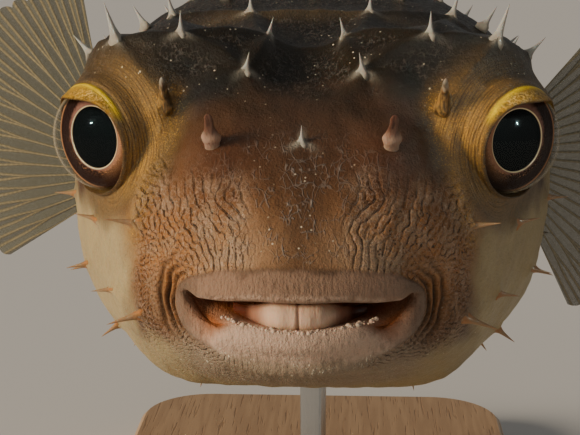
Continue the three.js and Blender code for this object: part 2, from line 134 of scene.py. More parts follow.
# Head spines: station, angle round the ring, length, and lean back and up from the skin's normal.
HEAD_SPINES = {
    "forehead": (7.51, 90, 2.4, 0.45, 0.1),
    "crown front": (8.73, 72.3, 2.7, 0.4, 0.8),
    "crown inner": (9.37, 78, 2.7, 0.1, 0.8),
    "crown outer": (9.09, 59, 3.1, 0.4, 0.5),
    "inner eye": (8.48, 53, 4.7, 0.3, 1),
    "brow": (9.16, 50, 5.6, 0.4, 0.3),
    "brow side": (9.55, 44, 4.2, 0.3, 0),
    "brow rear": (10.3, 44, 4.4, 0.3, 0.2),
    "nape inner": (10.6, 76, 3.0, 0.4, 0.2),
    "nape outer": (11.25, 57, 4.2, 0.4, 0.2),
    "cheek": (7, 26, 4.6, 0.5, -0.1),
    "mouth corner": (6.7, -21, 5, 0.5, 0),
    "cheek low": (8.31, -17.4, 3.2, 0.4, 0.1),
    "below eye": (9.03, 4, 3.4, 0.4, 0.2),
    "jaw side": (9.6, -37, 3.6, 0.3, 0),
    "gill front": (9.75, -16.4, 3.4, 0.3, 0),
    "gill upper": (10.5, 3, 3.8, 0.3, 0),
    "gill low": (10.8, -22, 3.8, 0.3, 0),
    "throat side": (10.6, -47, 3.2, 0.4, 0),
    "throat": (9.7, -64, 2.8, 0.4, 0),
    "throat inner": (10.5, -80, 2.8, 0.4, 0),
}
MIDDLE_SPINE = "forehead"
FINGER_SPINE = "inner eye"
PALE_SPINES = ("forehead", "crown", "brow", "nape", "trunk")
TRUNK_ROWS = {"first": 11.8, "step": 0.64, "rows": 7, "per_row": 17, "back": 4.6, "belly": 3.2, "lean": 0.5}
ROD_STATIONS = (62, 100)

# Ridges of tented skin between spine roots, by name. A name with a minus sign is the other side's spine.
RIDGES = (
    ("inner eye", "crown front"),
    ("crown front", "forehead"),
    ("crown front", "crown inner"),
    ("crown front", "crown outer"),
    ("crown outer", "crown inner"),
    ("crown inner", "-crown inner"),
    ("crown outer", "brow"),
    ("inner eye", "brow"),
    ("brow", "brow side"),
    ("brow", "brow rear"),
    ("crown inner", "nape inner"),
    ("nape inner", "-nape inner"),
    ("nape inner", "nape outer"),
    ("crown outer", "nape outer"),
    ("nape outer", "brow rear"),
)


# ---- The skin as a formula ----
def smooth(value, low, high):
    """0 below low, 1 above high, and an S curve between them."""
    share = np.clip((value - low) / (high - low), 0, 1)
    return share * share * (3 - 2 * share)


def bump(distance, width):
    """A soft bell of height 1."""
    return np.exp(-((distance / width) ** 2))


def soft_max(a, b, k):
    """The larger of two values, rounded off where they are closer than k."""
    blend = np.maximum(k - np.abs(a - b), 0) / k
    return np.maximum(a, b) + blend * blend * k / 4


def unit(vectors):
    return vectors / np.linalg.norm(vectors, axis=-1, keepdims=True)


def along_stations(v):
    """The numbers of the stations at the fractional stations v, on Catmull-Rom curves."""
    i = np.clip(np.floor(v).astype(int), 0, LAST - 1)
    f = (v - i)[..., None]
    a, b, c, d = (TABLE[np.clip(i + k, 0, LAST)] for k in (-1, 0, 1, 2))
    return b + 0.5 * f * (c - a + f * (2 * a - 5 * b + 4 * c - d + f * (3 * (b - c) + d - a)))


def ring_point(v, t):
    """The plain ring of station v at the angle t, with t = 0 on +x and 90 degrees on the back."""
    top_s, top_h, side_s, side_x, side_h, low_s, low_h, above, below = np.moveaxis(along_stations(v), -1, 0)
    up = np.sin(t) >= 0
    edge_s = np.where(up, top_s, low_s)
    edge_h = np.where(up, top_h, low_h)
    square = np.where(up, above, below)
    across, rise = np.abs(np.cos(t)), np.abs(np.sin(t))
    reach = (across**square + rise**square) ** (-1 / square)
    x = side_x * np.cos(t) * reach
    s = side_s + (edge_s - side_s) * rise**2
    h = side_h + (edge_h - side_h) * rise * reach
    return np.stack([x, s, h], -1)


def mirrored(points, spot):
    """The spot or its mirror image, whichever is on the side of each point."""
    side = np.where(points[..., 0] < 0, -1.0, 1.0)
    return np.stack([side * spot[0], np.full_like(side, spot[1]), np.full_like(side, spot[2])], -1)


def raise_brow(points):
    """Points pushed out to a squarish egg round the brow and the eye."""
    centre = mirrored(points, BROW["spot"])
    away = points - centre
    reach = np.stack(
        [
            np.full(away.shape[:-1], float(BROW["side"])),
            np.where(away[..., 1] < 0, BROW["front"], BROW["rear"]),
            np.where(away[..., 2] > 0, BROW["top"], BROW["bottom"]),
        ],
        -1,
    )
    r = (np.abs(away / reach) ** BROW_SQUARE).sum(-1) ** (1 / BROW_SQUARE)
    r = np.maximum(r, 0.05)
    return centre + away * (soft_max(r, 1, BROW_SOFTNESS) / r)[..., None]


def skin_point(v, t):
    """The plain skin of the solids, without folds."""
    v, t = np.broadcast_arrays(np.asarray(v, float), np.asarray(t, float))
    points = ring_point(v, t)
    on_head = smooth(v, 4.5, 6.5) * (1 - smooth(v, 12, 13))
    points = points + on_head[..., None] * (raise_brow(points) - points)
    for swelling in SWELLINGS:
        away = np.linalg.norm(points - mirrored(points, swelling["spot"]), axis=-1)
        strength = bump(away, swelling["radius"]) * (on_head > 0)
        points = points + strength[..., None] * mirrored(points, swelling["push"])
    return points


def skin_normal(v, t):
    """Outward normal of the plain skin."""
    e = 1e-3
    along = skin_point(v + e, t) - skin_point(v - e, t)
    around = skin_point(v, t + e) - skin_point(v, t - e)
    return unit(np.cross(along, around))


# ---- Spine roots and ridges ----
def head_spines():
    """Every head spine, right and left, as a dictionary with its place on the skin."""
    made = []
    for name, (v, t, length, lean, lift) in HEAD_SPINES.items():
        sides = (1,) if name == MIDDLE_SPINE else (1, -1)
        for side in sides:
            angle = math.radians(t if side == 1 else 180 - t)
            label = name if side == 1 else "-" + name
            made.append({"name": label, "v": v, "t": angle, "length": length, "lean": lean, "lift": lift})
    return made


def is_bare(root):
    """Whether a fin or a rod meets the skin here, so that no spine stands there."""
    x, s, h = root
    pectoral = abs(x) > 30 and 54 < s < 76 and -2 < h < 27
    median = abs(x) < 4 and s > 127
    rod = abs(x) < 5 and h < 0 and any(abs(s - station) < 6 for station in ROD_STATIONS)
    return pectoral or median or rod


def trunk_spines():
    """The rows of spines on the trunk, every other row set half a step round."""
    made = []
    for row in range(TRUNK_ROWS["rows"]):
        v = TRUNK_ROWS["first"] + row * TRUNK_ROWS["step"]
        for k in range(TRUNK_ROWS["per_row"]):
            t = math.radians(90 + (k + (row % 2) / 2) * 360 / TRUNK_ROWS["per_row"])
            if is_bare(skin_point(v, t)):
                continue
            low = (1 - math.sin(t)) / 2
            length = TRUNK_ROWS["back"] + low * (TRUNK_ROWS["belly"] - TRUNK_ROWS["back"])
            lean = TRUNK_ROWS["lean"]
            made.append({"name": "trunk", "v": v, "t": t, "length": length, "lean": lean, "lift": 0})
    return made


def ridge_curves():
    """The curves on the skin from one spine root to the next."""
    place = {spine["name"]: (spine["v"], spine["t"]) for spine in head_spines()}
    place["-" + MIDDLE_SPINE] = place[MIDDLE_SPINE]
    share = np.linspace(0, 1, 9)
    curves = []
    for start, end in RIDGES:
        for turn in ("", "-"):
            names = [(turn + name).replace("--", "") for name in (start, end)]
            (v0, t0), (v1, t1) = (place[name] for name in names)
            curves.append(skin_point(v0 + (v1 - v0) * share, t0 + (t1 - t0) * share))
    return curves


def distance_to_curve(points, curve):
    """Shortest distance from each point to a polyline."""
    nearest = np.full(points.shape[:-1], np.inf)
    for start, end in zip(curve[:-1], curve[1:]):
        leg = end - start
        share = np.clip(((points - start) @ leg) / (leg @ leg), 0, 1)
        gap = np.linalg.norm(points - start - share[..., None] * leg, axis=-1)
        nearest = np.minimum(nearest, gap)
    return nearest


# ---- Round the eye ----
def axis_frame(yaw, pitch, side):
    """Unit vectors of an eye's axis, the way up across it, and the way outwards across it."""
    yaw, pitch = math.radians(yaw), math.radians(pitch)
    axis = unit(np.array([side * math.sin(yaw), -math.cos(yaw), math.tan(pitch)]))
    up = unit(np.array([0.0, 0.0, 1.0]) - axis * axis[2])
    out = np.cross(axis, up) * -side
    return axis, up, out


def round_the_eye(points):
    """Offset and distance from the nearer eye's middle, angle from the lids' axis and turn round it."""
    away = points - mirrored(points, (EYE_X, EYE_S, EYE_H))
    left = folded(points) - np.array([EYE_X, EYE_S, EYE_H])
    axis, up, out = axis_frame(LID["yaw"], LID["pitch"], 1)
    distance = np.maximum(np.linalg.norm(left, axis=-1), 1e-6)
    angle = np.degrees(np.arccos(np.clip(left @ axis / distance, -1, 1)))
    turn = np.degrees(np.arctan2(left @ out, left @ up))
    return away, distance, angle, turn


def around_turn(turn, middle):
    """How far a turn lies from another, in degrees, the short way round."""
    return (turn - middle + 180) % 360 - 180


def lid_edge(turn):
    """Angle of the lids' edge from their axis. It reaches over the iris above, and stands open outwards."""
    over = 14 * bump(around_turn(turn, 0), 40)
    outwards = 24 * bump(around_turn(turn, 104), 44)
    return LID["opening"] - over + outwards


def lid_radius(turn):
    """Distance of the lids from the eye's middle. Above and outwards they lie close to the clear cornea."""
    return LID["radius"] - 0.5 * bump(around_turn(turn, 62), 36)


def shape_lids(points):
    """Skin pushed out to the ball of the lids. Inside their edge it drops like a cup, behind the globe."""
    away, distance, angle, turn = round_the_eye(points)
    edge = lid_edge(turn)
    lips = 0.2 * bump(angle - edge - 3.2, 2.6) * (1 - 0.8 * bump(around_turn(turn, 100), 60))
    fold = 0.3 * bump(angle - 71, 1.6) * bump(around_turn(turn, -20), 60)
    radius = lid_radius(turn)
    outer = soft_max(distance, radius + lips - fold, 0.9)
    on_ball = away * (outer / distance)[..., None]

    axis, up, out = axis_frame(LID["yaw"], LID["pitch"], 1)
    depth = np.clip((edge - angle) / edge, 0, 1)
    rim_out, rim_up = radius * np.sin(np.radians(edge)), radius * np.cos(np.radians(edge))
    wall = smooth(depth, 0, 0.14)
    radial = rim_out + (LID["cup_radius"] - rim_out) * wall
    radial = radial * np.clip((1 - depth) / 0.84, 0, 1)
    axial = rim_up + (LID["cup_floor"] - rim_up) * wall
    spun = np.cos(np.radians(turn))[..., None] * up + np.sin(np.radians(turn))[..., None] * out
    in_cup = axial[..., None] * axis + radial[..., None] * spun
    in_cup = in_cup * half_signs(points)

    shaped = np.where((angle < edge)[..., None], in_cup, on_ball)
    return np.where((distance < EYE_REACH)[..., None], points + shaped - away, points)


# ---- Folds of the skin ----
# Curves on the left half of the head, as stations and angles: the rim of the orbit, the valley inside it.
ORBIT_RIM = ((8.48, 53), (8.1, 47.5), (7.78, 43), (7.24, 34), (7.0, 21))
ORBIT_VALLEY = ((8.75, 60), (8.37, 54.3), (7.95, 51), (7.5, 47.5))

# The hollow at each end of the lower lip, as (x, h), and how wide it is at its top and foot.
LIP_RECESS = np.array([(11.9, 0.9), (12.8, -2.0), (13.6, -4.4)])
RECESS_WIDTH = (2.9, 1.3)


def head_curve(places):
    """A curve on the skin, smooth through a few places of one side."""
    v, t = np.array(places, float).T
    share = np.linspace(0, len(places) - 1, 6 * len(places))
    whole = np.arange(len(places))
    return skin_point(np.interp(share, whole, v), np.radians(np.interp(share, whole, t)))


def half_signs(points):
    """The factors that bring each point to the left half, +x, and back to its own."""
    return np.where(points[..., :1] < 0, [-1.0, 1.0, 1.0], [1.0, 1.0, 1.0])


def folded(points):
    """Points of both halves laid on the left one."""
    return points * half_signs(points)


def waves(points, length, seed):
    """Soft irregular swells of the given wavelength, between about -1 and 1."""
    rng = np.random.default_rng(seed)
    total = np.zeros(points.shape[:-1])
    for _ in range(7):
        way = unit(rng.normal(size=3)) * 2 * math.pi / (length * rng.uniform(0.7, 1.4))
        total += np.sin(points @ way + rng.uniform(0, 2 * math.pi))
    return total / 3.5


def tents(points, v):
    """How deep the skin sags between the ridges that run from spine to spine, from 0 to 1."""
    nearest = np.full(points.shape[:-1], np.inf)
    rows = (v[:, 0] > 7) & (v[:, 0] < 12.6)
    for curve in ridge_curves():
        nearest[rows] = np.minimum(nearest[rows], distance_to_curve(points[rows], curve))
    sag = 1 - np.exp(-np.sqrt(nearest**2 + 0.25) / 3.2) / math.exp(-0.5 / 3.2)
    crown = smooth(points[..., 2], 25, 31) * smooth(v, 7.3, 8.2) * (1 - smooth(v, 11.2, 12.4))
    return np.where(np.isfinite(nearest), sag, 0) * crown


def mouth_corner(points, v):
    """1 on the folds just outside the corners of the mouth."""
    x, h = np.abs(points[..., 0]), points[..., 2]
    return bump(x - 19.3, 3.2) * bump(h + 0.5, 6.5) * smooth(v, 4.6, 4.9) * (1 - smooth(v, 5.9, 6.5))


def fold_skin(points, normals, v):
    """The skin with its folds, hollows and slits, and the marks that they leave for its finish, which paints
    shade into the hollows, the orbit valley, the corner grooves and the slits.
    """
    left = folded(points)
    sag = tents(points, v)
    rim = distance_to_curve(left, head_curve(ORBIT_RIM))
    valley = distance_to_curve(left, head_curve(ORBIT_VALLEY))
    corner = mouth_corner(points, v)
    x, s, h = np.abs(points[..., 0]), points[..., 1], points[..., 2]
    offset = -SKIN_INSET - 1.8 * sag
    offset += 0.5 * bump(rim, 1.5) - 0.75 * bump(valley, 2.3)
    bend = v + 0.05 * waves(points, 4, 8)
    corner = corner * (bump(bend - 4.98, 0.1) + 0.9 * bump(bend - 5.3, 0.08) + 0.8 * bump(bend - 5.6, 0.08))
    offset -= 0.8 * corner
    chin = bump(h + 10.5, 3.5) * bump(x, 15) * (v < 7)
    offset -= 0.07 * chin * (0.5 + 0.5 * np.cos(2 * math.pi * x / 1.3 + 2 * waves(points, 9, 5)))
    wide = RECESS_WIDTH[1] + (RECESS_WIDTH[0] - RECESS_WIDTH[1]) * smooth(h, -6, 0.5)
    under_lip = smooth(-h, 4.5, 7) * bump(x, 12)
    offset += (0.5 * bump(v - 5.05, 0.5) - 0.5 * bump(v - 3.9, 0.8)) * under_lip
    recess = bump(distance_to_curve(np.stack([x, h], -1), LIP_RECESS) / wide, 1)
    recess = recess * smooth(v, 0.9, 2.0) * (1 - smooth(v, 4.0, 4.7)) * (1 - smooth(h, 0.8, 2.0))
    recess = recess * (0.35 + 0.65 * smooth(h, -5.5, -1))
    offset -= 2.1 * recess
    bow = 0.02 * (h - 10) ** 2
    beside, level = smooth(x, 30, 36), bump(h - 10, 12)
    slit = bump(s - 56.5 - bow, 0.7) * beside * level
    gill_cover = bump(s - 52.5 - bow, 3.5) * beside * level
    offset += 0.5 * gill_cover - 1.4 * slit
    fin_root = bump(np.linalg.norm(left - np.array([40, 63, 12]), axis=-1), 7.5)
    offset += 1.1 * fin_root
    body = smooth(v, 4.5, 6)
    offset += 0.12 * waves(points, 7, 1) * body + 0.06 * waves(points, 2.6, 2) * body
    points = points + normals * offset[..., None]
    hang = (0.65 + 0.55 * smooth(x, 5, 12)) * (1 - smooth(v, 3.3, 4.6))
    hang = hang * smooth(h, 0.9, 2.0) * smooth(v, 0.8, 1.6)
    points[..., 2] -= hang * (1 - smooth(x, 14, 16.5))
    marks = {"sag": sag, "rim": bump(rim, 2.2), "valley": bump(valley, 2.6)}
    return points, {**marks, "corner": corner, "slit": slit, "recess": recess}


# ---- Meshes ----
def grid_faces(rows, columns):
    """Quads between rings of points, ring by ring."""
    around = np.arange(columns)
    beside = (around + 1) % columns
    start = np.arange(rows - 1)[:, None] * columns
    quads = [start + around, start + columns + around, start + columns + beside, start + beside]
    return np.stack(quads, -1).reshape(-1, 4)


def end_faces(rows, columns):
    """Triangles that close the first and last ring on two added middle points."""
    around = np.arange(columns)
    beside = (around + 1) % columns
    first = np.stack([np.full(columns, rows * columns), around, beside], -1)
    last_row = (rows - 1) * columns
    last = np.stack([np.full(columns, rows * columns + 1), last_row + beside, last_row + around], -1)
    return np.concatenate([first, last])


def mesh_object(name, points, faces, material, values=None):
    """An object with smooth faces. `faces` is a list of arrays, `values` are attributes of its points."""
    mesh = bpy.data.meshes.new(name)
    flat = np.asarray(points, np.float32).reshape(-1, 3)
    mesh.vertices.add(len(flat))
    mesh.vertices.foreach_set("co", flat.ravel())
    loops = np.concatenate([part.ravel() for part in faces]).astype(np.int32)
    sizes = np.concatenate([np.full(len(part), part.shape[1]) for part in faces])
    mesh.loops.add(len(loops))
    mesh.loops.foreach_set("vertex_index", loops)
    mesh.polygons.add(len(sizes))
    mesh.polygons.foreach_set("loop_start", (np.cumsum(sizes) - sizes).astype(np.int32))
    mesh.update(calc_edges=True)
    mesh.shade_smooth()
    for label, value in (values or {}).items():
        kind = "FLOAT_VECTOR" if np.ndim(value) == 2 else "FLOAT"
        field = "vector" if kind == "FLOAT_VECTOR" else "value"
        layer = mesh.attributes.new(label, kind, "POINT")
        layer.data.foreach_set(field, np.asarray(value, np.float32).ravel())
    if mesh.validate():
        raise RuntimeError(f"{name} has faulty faces")
    mesh.materials.append(material)
    made = bpy.data.objects.new(name, mesh)
    bpy.context.scene.collection.objects.link(made)
    return made


def facing_out(points, faces):
    """The faces, turned round if they enclose a negative volume."""
    corners = [np.asarray(points).reshape(-1, 3)[part] for part in faces]
    volume = sum((c[:, 0] * np.cross(c[:, 1], c[:, 2])).sum() for c in corners)
    return faces if volume > 0 else [part[:, ::-1] for part in faces]


def closed_rings(grid):
    """Points and faces of a closed shape made of rings, with a middle point added at each end."""
    rows, columns = grid.shape[:2]
    flat = np.concatenate([grid.reshape(-1, 3), [grid[0].mean(0), grid[-1].mean(0)]])
    return flat, facing_out(flat, [grid_faces(rows, columns), end_faces(rows, columns)])


def with_ends(value, shape):
    """A value for every point of closed_rings, from those of its grid."""
    value = np.broadcast_to(value, shape)
    return np.concatenate([value.ravel(), [value[0].mean(), value[-1].mean()]])


def joined(name, parts, material):
    """One object from closed shapes. Each part is its rings of points and their values."""
    points, faces, values, start = [], [], {}, 0
    for grid, marks in parts:
        flat, own = closed_rings(grid)
        faces += [part + start for part in own]
        for label, value in marks.items():
            values.setdefault(label, []).append(with_ends(value, grid.shape[:2]))
        points.append(flat)
        start += len(flat)
    values = {label: np.concatenate(value) for label, value in values.items()}
    by_size = [np.concatenate([part for part in faces if part.shape[1] == size]) for size in (3, 4)]
    return mesh_object(name, to_world(np.concatenate(points)), by_size, material, values)


def turned(profile, columns, origin, axes):
    """Rings of a turned shape, from (radius, height) pairs and its two cross directions and axis."""
    turn = np.linspace(0, 2 * math.pi, columns, endpoint=False)
    radius, height = np.asarray(profile, float).T
    across, deep, along = axes
    ring = np.cos(turn)[:, None] * across + np.sin(turn)[:, None] * deep
    return origin + radius[:, None, None] * ring + height[:, None, None] * along


def cross_directions(way, hint=(0.0, 0.0, 1.0)):
    """Two unit vectors across a direction, the second one as near the hint as it can be."""
    way = unit(np.asarray(way, float))
    side = unit(np.cross(np.asarray(hint), way) + 1e-9)
    return side, np.cross(way, side), way


# ---- Shaders ----
class Value:
    """One output of a node, so that shader maths on numbers reads as an ordinary expression."""

    def __init__(self, nodes, socket):
        self.nodes = nodes
        self.socket = socket

    def maths(self, operation, *others):
        sockets = {0: self}
        sockets.update({k + 1: other for k, other in enumerate(others)})
        return self.nodes.value("ShaderNodeMath", {"operation": operation}, sockets)

    def __add__(self, other):
        return self.maths("ADD", other)

    def __sub__(self, other):
        return self.maths("SUBTRACT", other)

    def __mul__(self, other):
        return self.maths("MULTIPLY", other)

    def __truediv__(self, other):
        return self.maths("DIVIDE", other)

    def __pow__(self, other):
        return self.maths("POWER", other)

    def __rsub__(self, other):
        return self.nodes.value("ShaderNodeMath", {"operation": "SUBTRACT"}, {0: other, 1: self})

    __radd__ = __add__
    __rmul__ = __mul__

    def wave(self):
        return self.maths("SINE")

    def size(self):
        return self.maths("ABSOLUTE")

    def limited(self):
        return self.maths("MAXIMUM", 0.0).maths("MINIMUM", 1.0)

    def smooth(self, low, high):
        """0 at low, 1 at high, on an S curve."""
        sockets = {"Value": self, "From Min": min(low, high), "From Max": max(low, high)}
        if low > high:
            sockets |= {"To Min": 1.0, "To Max": 0.0}
        return self.nodes.value("ShaderNodeMapRange", {"interpolation_type": "SMOOTHSTEP"}, sockets)


class Nodes:
    """The node tree of one material."""

    def __init__(self, name):
        self.material = bpy.data.materials.new(name)
        self.material.use_nodes = True
        self.tree = self.material.node_tree
        self.tree.nodes.clear()

    def node(self, kind, settings=None, sockets=None):
        """A node of a type, with its settings made first and then its sockets' values or links."""
        made = self.tree.nodes.new(kind)
        for name, value in (settings or {}).items():
            setattr(made, name, value)
        for name, value in (sockets or {}).items():
            if isinstance(value, Value):
                self.tree.links.new(value.socket, made.inputs[name])
            else:
                made.inputs[name].default_value = value
        return made

    def value(self, kind, settings=None, sockets=None, output=0):
        return Value(self, self.node(kind, settings, sockets).outputs[output])

    def mark(self, name):
        """A float attribute of the mesh."""
        return self.value("ShaderNodeAttribute", {"attribute_name": name}, output="Fac")

    def place(self, name=None):
        """Position in millimetres, or a vector attribute of the mesh."""
        if name:
            return self.value("ShaderNodeAttribute", {"attribute_name": name}, output="Vector")
        place = self.value("ShaderNodeTexCoord", output="Object")
        return self.vector("SCALE", place, Scale=1000.0)

    def vector(self, operation, first, second=None, **sockets):
        sockets = {0: first, **({} if second is None else {1: second}), **sockets}
        return self.value("ShaderNodeVectorMath", {"operation": operation}, sockets)

    def noise(self, place, size, detail=2.0, rough=0.5, squeeze=None, output=0):
        """Noise whose features are about `size` millimetres across, or less along squeezed directions."""
        if squeeze:
            place = self.vector("MULTIPLY", place, squeeze)
        sockets = {"Vector": place, "Scale": 1.0 / size, "Detail": detail, "Roughness": rough}
        return self.value("ShaderNodeTexNoise", {}, sockets, output)

    def warped(self, place, size, amount):
        """A position stirred by noise."""
        stir = self.vector("SUBTRACT", self.noise(place, size, output=1), (0.5, 0.5, 0.5))
        return self.vector("ADD", place, self.vector("SCALE", stir, Scale=amount))

    def cells(self, place, size, feature="DISTANCE_TO_EDGE"):
        """Distance to the edge of irregular cells, or to their middle with the feature F1."""
        sockets = {"Vector": place, "Scale": 1.0 / size}
        return self.value("ShaderNodeTexVoronoi", {"feature": feature}, sockets, "Distance")

    def coats(self, colour, *coats):
        """A colour with coats of other colours over it, each given as (colour, share)."""
        for coat, share in coats:
            both = [value if isinstance(value, Value) else (*value, 1.0) for value in (colour, coat)]
            sockets = {0: share, 6: both[0], 7: both[1]}
            colour = self.value("ShaderNodeMix", {"data_type": "RGBA"}, sockets, 2)
        return colour

    def darkened(self, colour, share):
        """A colour times a share of at most 1."""
        return self.coats(BLACK, (colour, share))

    def surface(self, sockets, constants):
        """The shader and the material's output."""
        made = self.node("ShaderNodeBsdfPrincipled", {}, {**constants, **sockets})
        self.node("ShaderNodeOutputMaterial", {}, {"Surface": Value(self, made.outputs[0])})
        return self.material

    def bumps(self, height, distance, strength=1.0):
        """A normal from a height in millimetres."""
        sockets = {"Height": height, "Distance": distance * MM, "Strength": strength}
        return self.value("ShaderNodeBump", {}, sockets)


# ---- Settings ----
def tint(name, text, red, green, blue):
    """A colour setting."""
    return bpy.props.FloatVectorProperty(
        name=name, description=text, subtype="COLOR", size=3, min=0, max=1, default=(red, green, blue)
    )


def number(name, text, default, **kind):
    """A setting that is one number."""
    return bpy.props.FloatProperty(name=name, description=text, default=default, **kind)


class PUFFER_PG_skin(bpy.types.PropertyGroup):
    """Colours of the skin and the grain of its lines."""

    centre: tint("Face", "Grey-brown of the middle of the face", 0.066, 0.034, 0.018)
    cheek: tint("Cheek", "Orange tan between the eye and the mouth", 0.40, 0.175, 0.055)
    tan: tint("Cheek veins", "Grey tan of the broad veins on the cheeks", 0.40, 0.26, 0.155)
    flank: tint("Flank", "Pale cream of the side of the head and the belly", 0.42, 0.32, 0.16)
    crown: tint("Crown", "Dark olive brown of the crown and back", 0.019, 0.013, 0.006)
    # Painted shade: laid into the sagging hollows of the crown, the valley beside the eye and the cup inside
    # the lids.
    hollow_shade: tint("Hollow", "Near black of the hollows between the ridges", 0.008, 0.006, 0.003)
    orbit: tint("Orbit", "Ochre brown round the eye", 0.118, 0.073, 0.028)
    rim: tint("Rim", "Golden tan of the ridge beside the eye", 0.31, 0.172, 0.047)
    nose: tint("Nose", "Mauve brown round the nasal tentacles", 0.075, 0.025, 0.010)
    lip: tint("Lower lip", "Pale pink grey of the lower lip", 0.54, 0.375, 0.275)
    upper_lip: tint("Upper lip", "Grey tan of the upper lip", 0.31, 0.19, 0.125)
    chin: tint("Chin", "Grey tan of the chin under the lower lip", 0.29, 0.215, 0.145)
    lip_end: tint("Lip ends", "Grey brown of the lips round the corners of the mouth", 0.15, 0.095, 0.06)
    gullet: tint("Gullet", "Orange brown inside the mouth", 0.32, 0.11, 0.038)
    gold: tint("Gold", "Gold of the upper lid", 0.44, 0.23, 0.0)
    # Painted glints: cream specks in the middle of the gold upper lid, standing in for highlights on its
    # rounded surface.
    gold_glint_speck: tint("Gold specks", "Cream specks on the gold of the upper lid", 0.88, 0.58, 0.16)
    # Painted highlights on the strands between the wrinkles round the eye, and golden flecks over the orbit.
    strand: tint("Strands", "Yellow of the fine strands between the wrinkles", 0.70, 0.38, 0.06)
    spot: tint("Spine root", "White of the spine roots", 0.34, 0.31, 0.25)
    # Also painted shade in the grooves at the corners of the mouth, in the gill slits and along the lids'
    # edge.
    dark_line_and_shade: tint("Dark lines", "Brown black of the fine lines on the cheeks", 0.035, 0.016, 0.007)
    pale_line: tint("Pale lines", "Grey of the raised lines on the face", 0.26, 0.22, 0.19)
    wrinkle_gap: number("Wrinkle gap", "Millimetres between the wrinkles round the eye", 0.53, min=0.1)
    lid_rim: tint("Lid rim", "Bright yellow of the edge of the upper lid", 0.95, 0.66, 0.0)
    # Also the colour of the painted wet glints under the lip.
    speck_and_glint: tint("Specks", "Cream of the specks of the crown, face and chin", 0.85, 0.76, 0.58)


class PUFFER_PG_pieces(bpy.types.PropertyGroup):
    """Colours of the spines, eyes, beak, fins and stand."""

    spine: tint("Pale spines", "Grey white of the spines of the crown", 0.42, 0.42, 0.38)
    thorn: tint("Tan spines", "Tan of the spines of the sides", 0.36, 0.22, 0.11)
    iris: tint("Iris", "Pink brown of the inner iris", 0.27, 0.13, 0.095)
    iris_edge: tint("Iris edge", "Dark brown of the outer iris", 0.020, 0.007, 0.004)
    iris_metal: tint("Iris metal", "Copper glints of the iris", 0.75, 0.36, 0.16)
    pupil_ring: tint("Pupil ring", "Bright rim of the pupil", 1.0, 0.84, 0.52)
    pupil: tint("Pupil", "Blue black of the pupil", 0.0008, 0.0016, 0.0020)
    # Painted reflection: the bright line where the cornea is seen at a slant.
    cornea: tint("Cornea edge", "Straw grey of the edge of the clear cornea", 0.66, 0.56, 0.38)
    beak: tint("Beak", "Pinkish white of the beak", 0.62, 0.42, 0.29)
    beak_groove: tint("Beak groove", "Tan of the groove down the beak", 0.38, 0.20, 0.13)
    beak_side: tint("Beak side", "Brown of the sides of the beak", 0.34, 0.16, 0.10)
    # Painted shade where the ends of the beak go back into the mouth.
    beak_end_shade: tint("Beak end", "Dark brown of the ends of the beak", 0.09, 0.025, 0.012)
    knob: tint("Knobs", "Cream of the knobs on the lower lip", 0.66, 0.50, 0.38)
    tentacle: tint("Tentacle", "Mauve brown of the nasal tentacles", 0.135, 0.068, 0.042)
    fin: tint("Fin", "Greenish brown of the fin skin", 0.085, 0.08, 0.042)
    ray: tint("Ray", "Pale tan of the fin rays", 0.36, 0.29, 0.17)
    fin_root: tint("Fin root", "Tan of the flesh at the fin roots", 0.30, 0.20, 0.12)
    wood: tint("Oak", "Light oak of the base", 0.46, 0.29, 0.15)
    wood_band: tint("Oak bands", "Brown of the growth bands", 0.30, 0.17, 0.08)
    wood_pore: tint("Oak pores", "Dark brown of the pores", 0.17, 0.09, 0.045)
    steel: tint("Steel", "Brushed steel of the rods", 0.60, 0.60, 0.59)


class PUFFER_PG_stage(bpy.types.PropertyGroup):
    """Camera and lights."""

    distance: number("Distance", "From the camera to the mouth", 0.2, unit="LENGTH")
    azimuth: number("Azimuth", "Turn of the camera to the fish's left", math.radians(2.6), subtype="ANGLE")
    elevation: number("Elevation", "Height of the camera over the mouth", math.radians(12), subtype="ANGLE")
    lens: number("Lens", "Focal length", 90.9, unit="CAMERA")
    key: number("Key", "Strength of the warm key light", 4.7)
    fill: number("Fill", "Power of the fill light", 0.34, unit="POWER")
    spark: number("Spark", "Power of the narrow lights that the eyes mirror", 0.0045, unit="POWER")
    floor: tint("Floor", "Pale grey of the floor", 0.70, 0.69, 0.67)


# ---- Skin ----
def skin_grid():
    """Stations and angles of the skin's grid. The columns are closer together over the eyes."""
    rows = [np.linspace(start, end, count, endpoint=False) for start, end, count in SKIN_ROWS]
    v = np.append(np.concatenate(rows), float(LAST))
    turn = np.linspace(0, 2 * math.pi, 4001)
    density = 1 + 1.3 * bump(turn - math.radians(43), 0.32) + 1.3 * bump(turn - math.radians(137), 0.32)
    total = np.concatenate([[0], np.cumsum((density[1:] + density[:-1]) / 2)])
    t = np.interp(np.arange(SKIN_AROUND) / SKIN_AROUND * total[-1], total, turn)
    return np.broadcast_arrays(v[:, None], t[None, :])


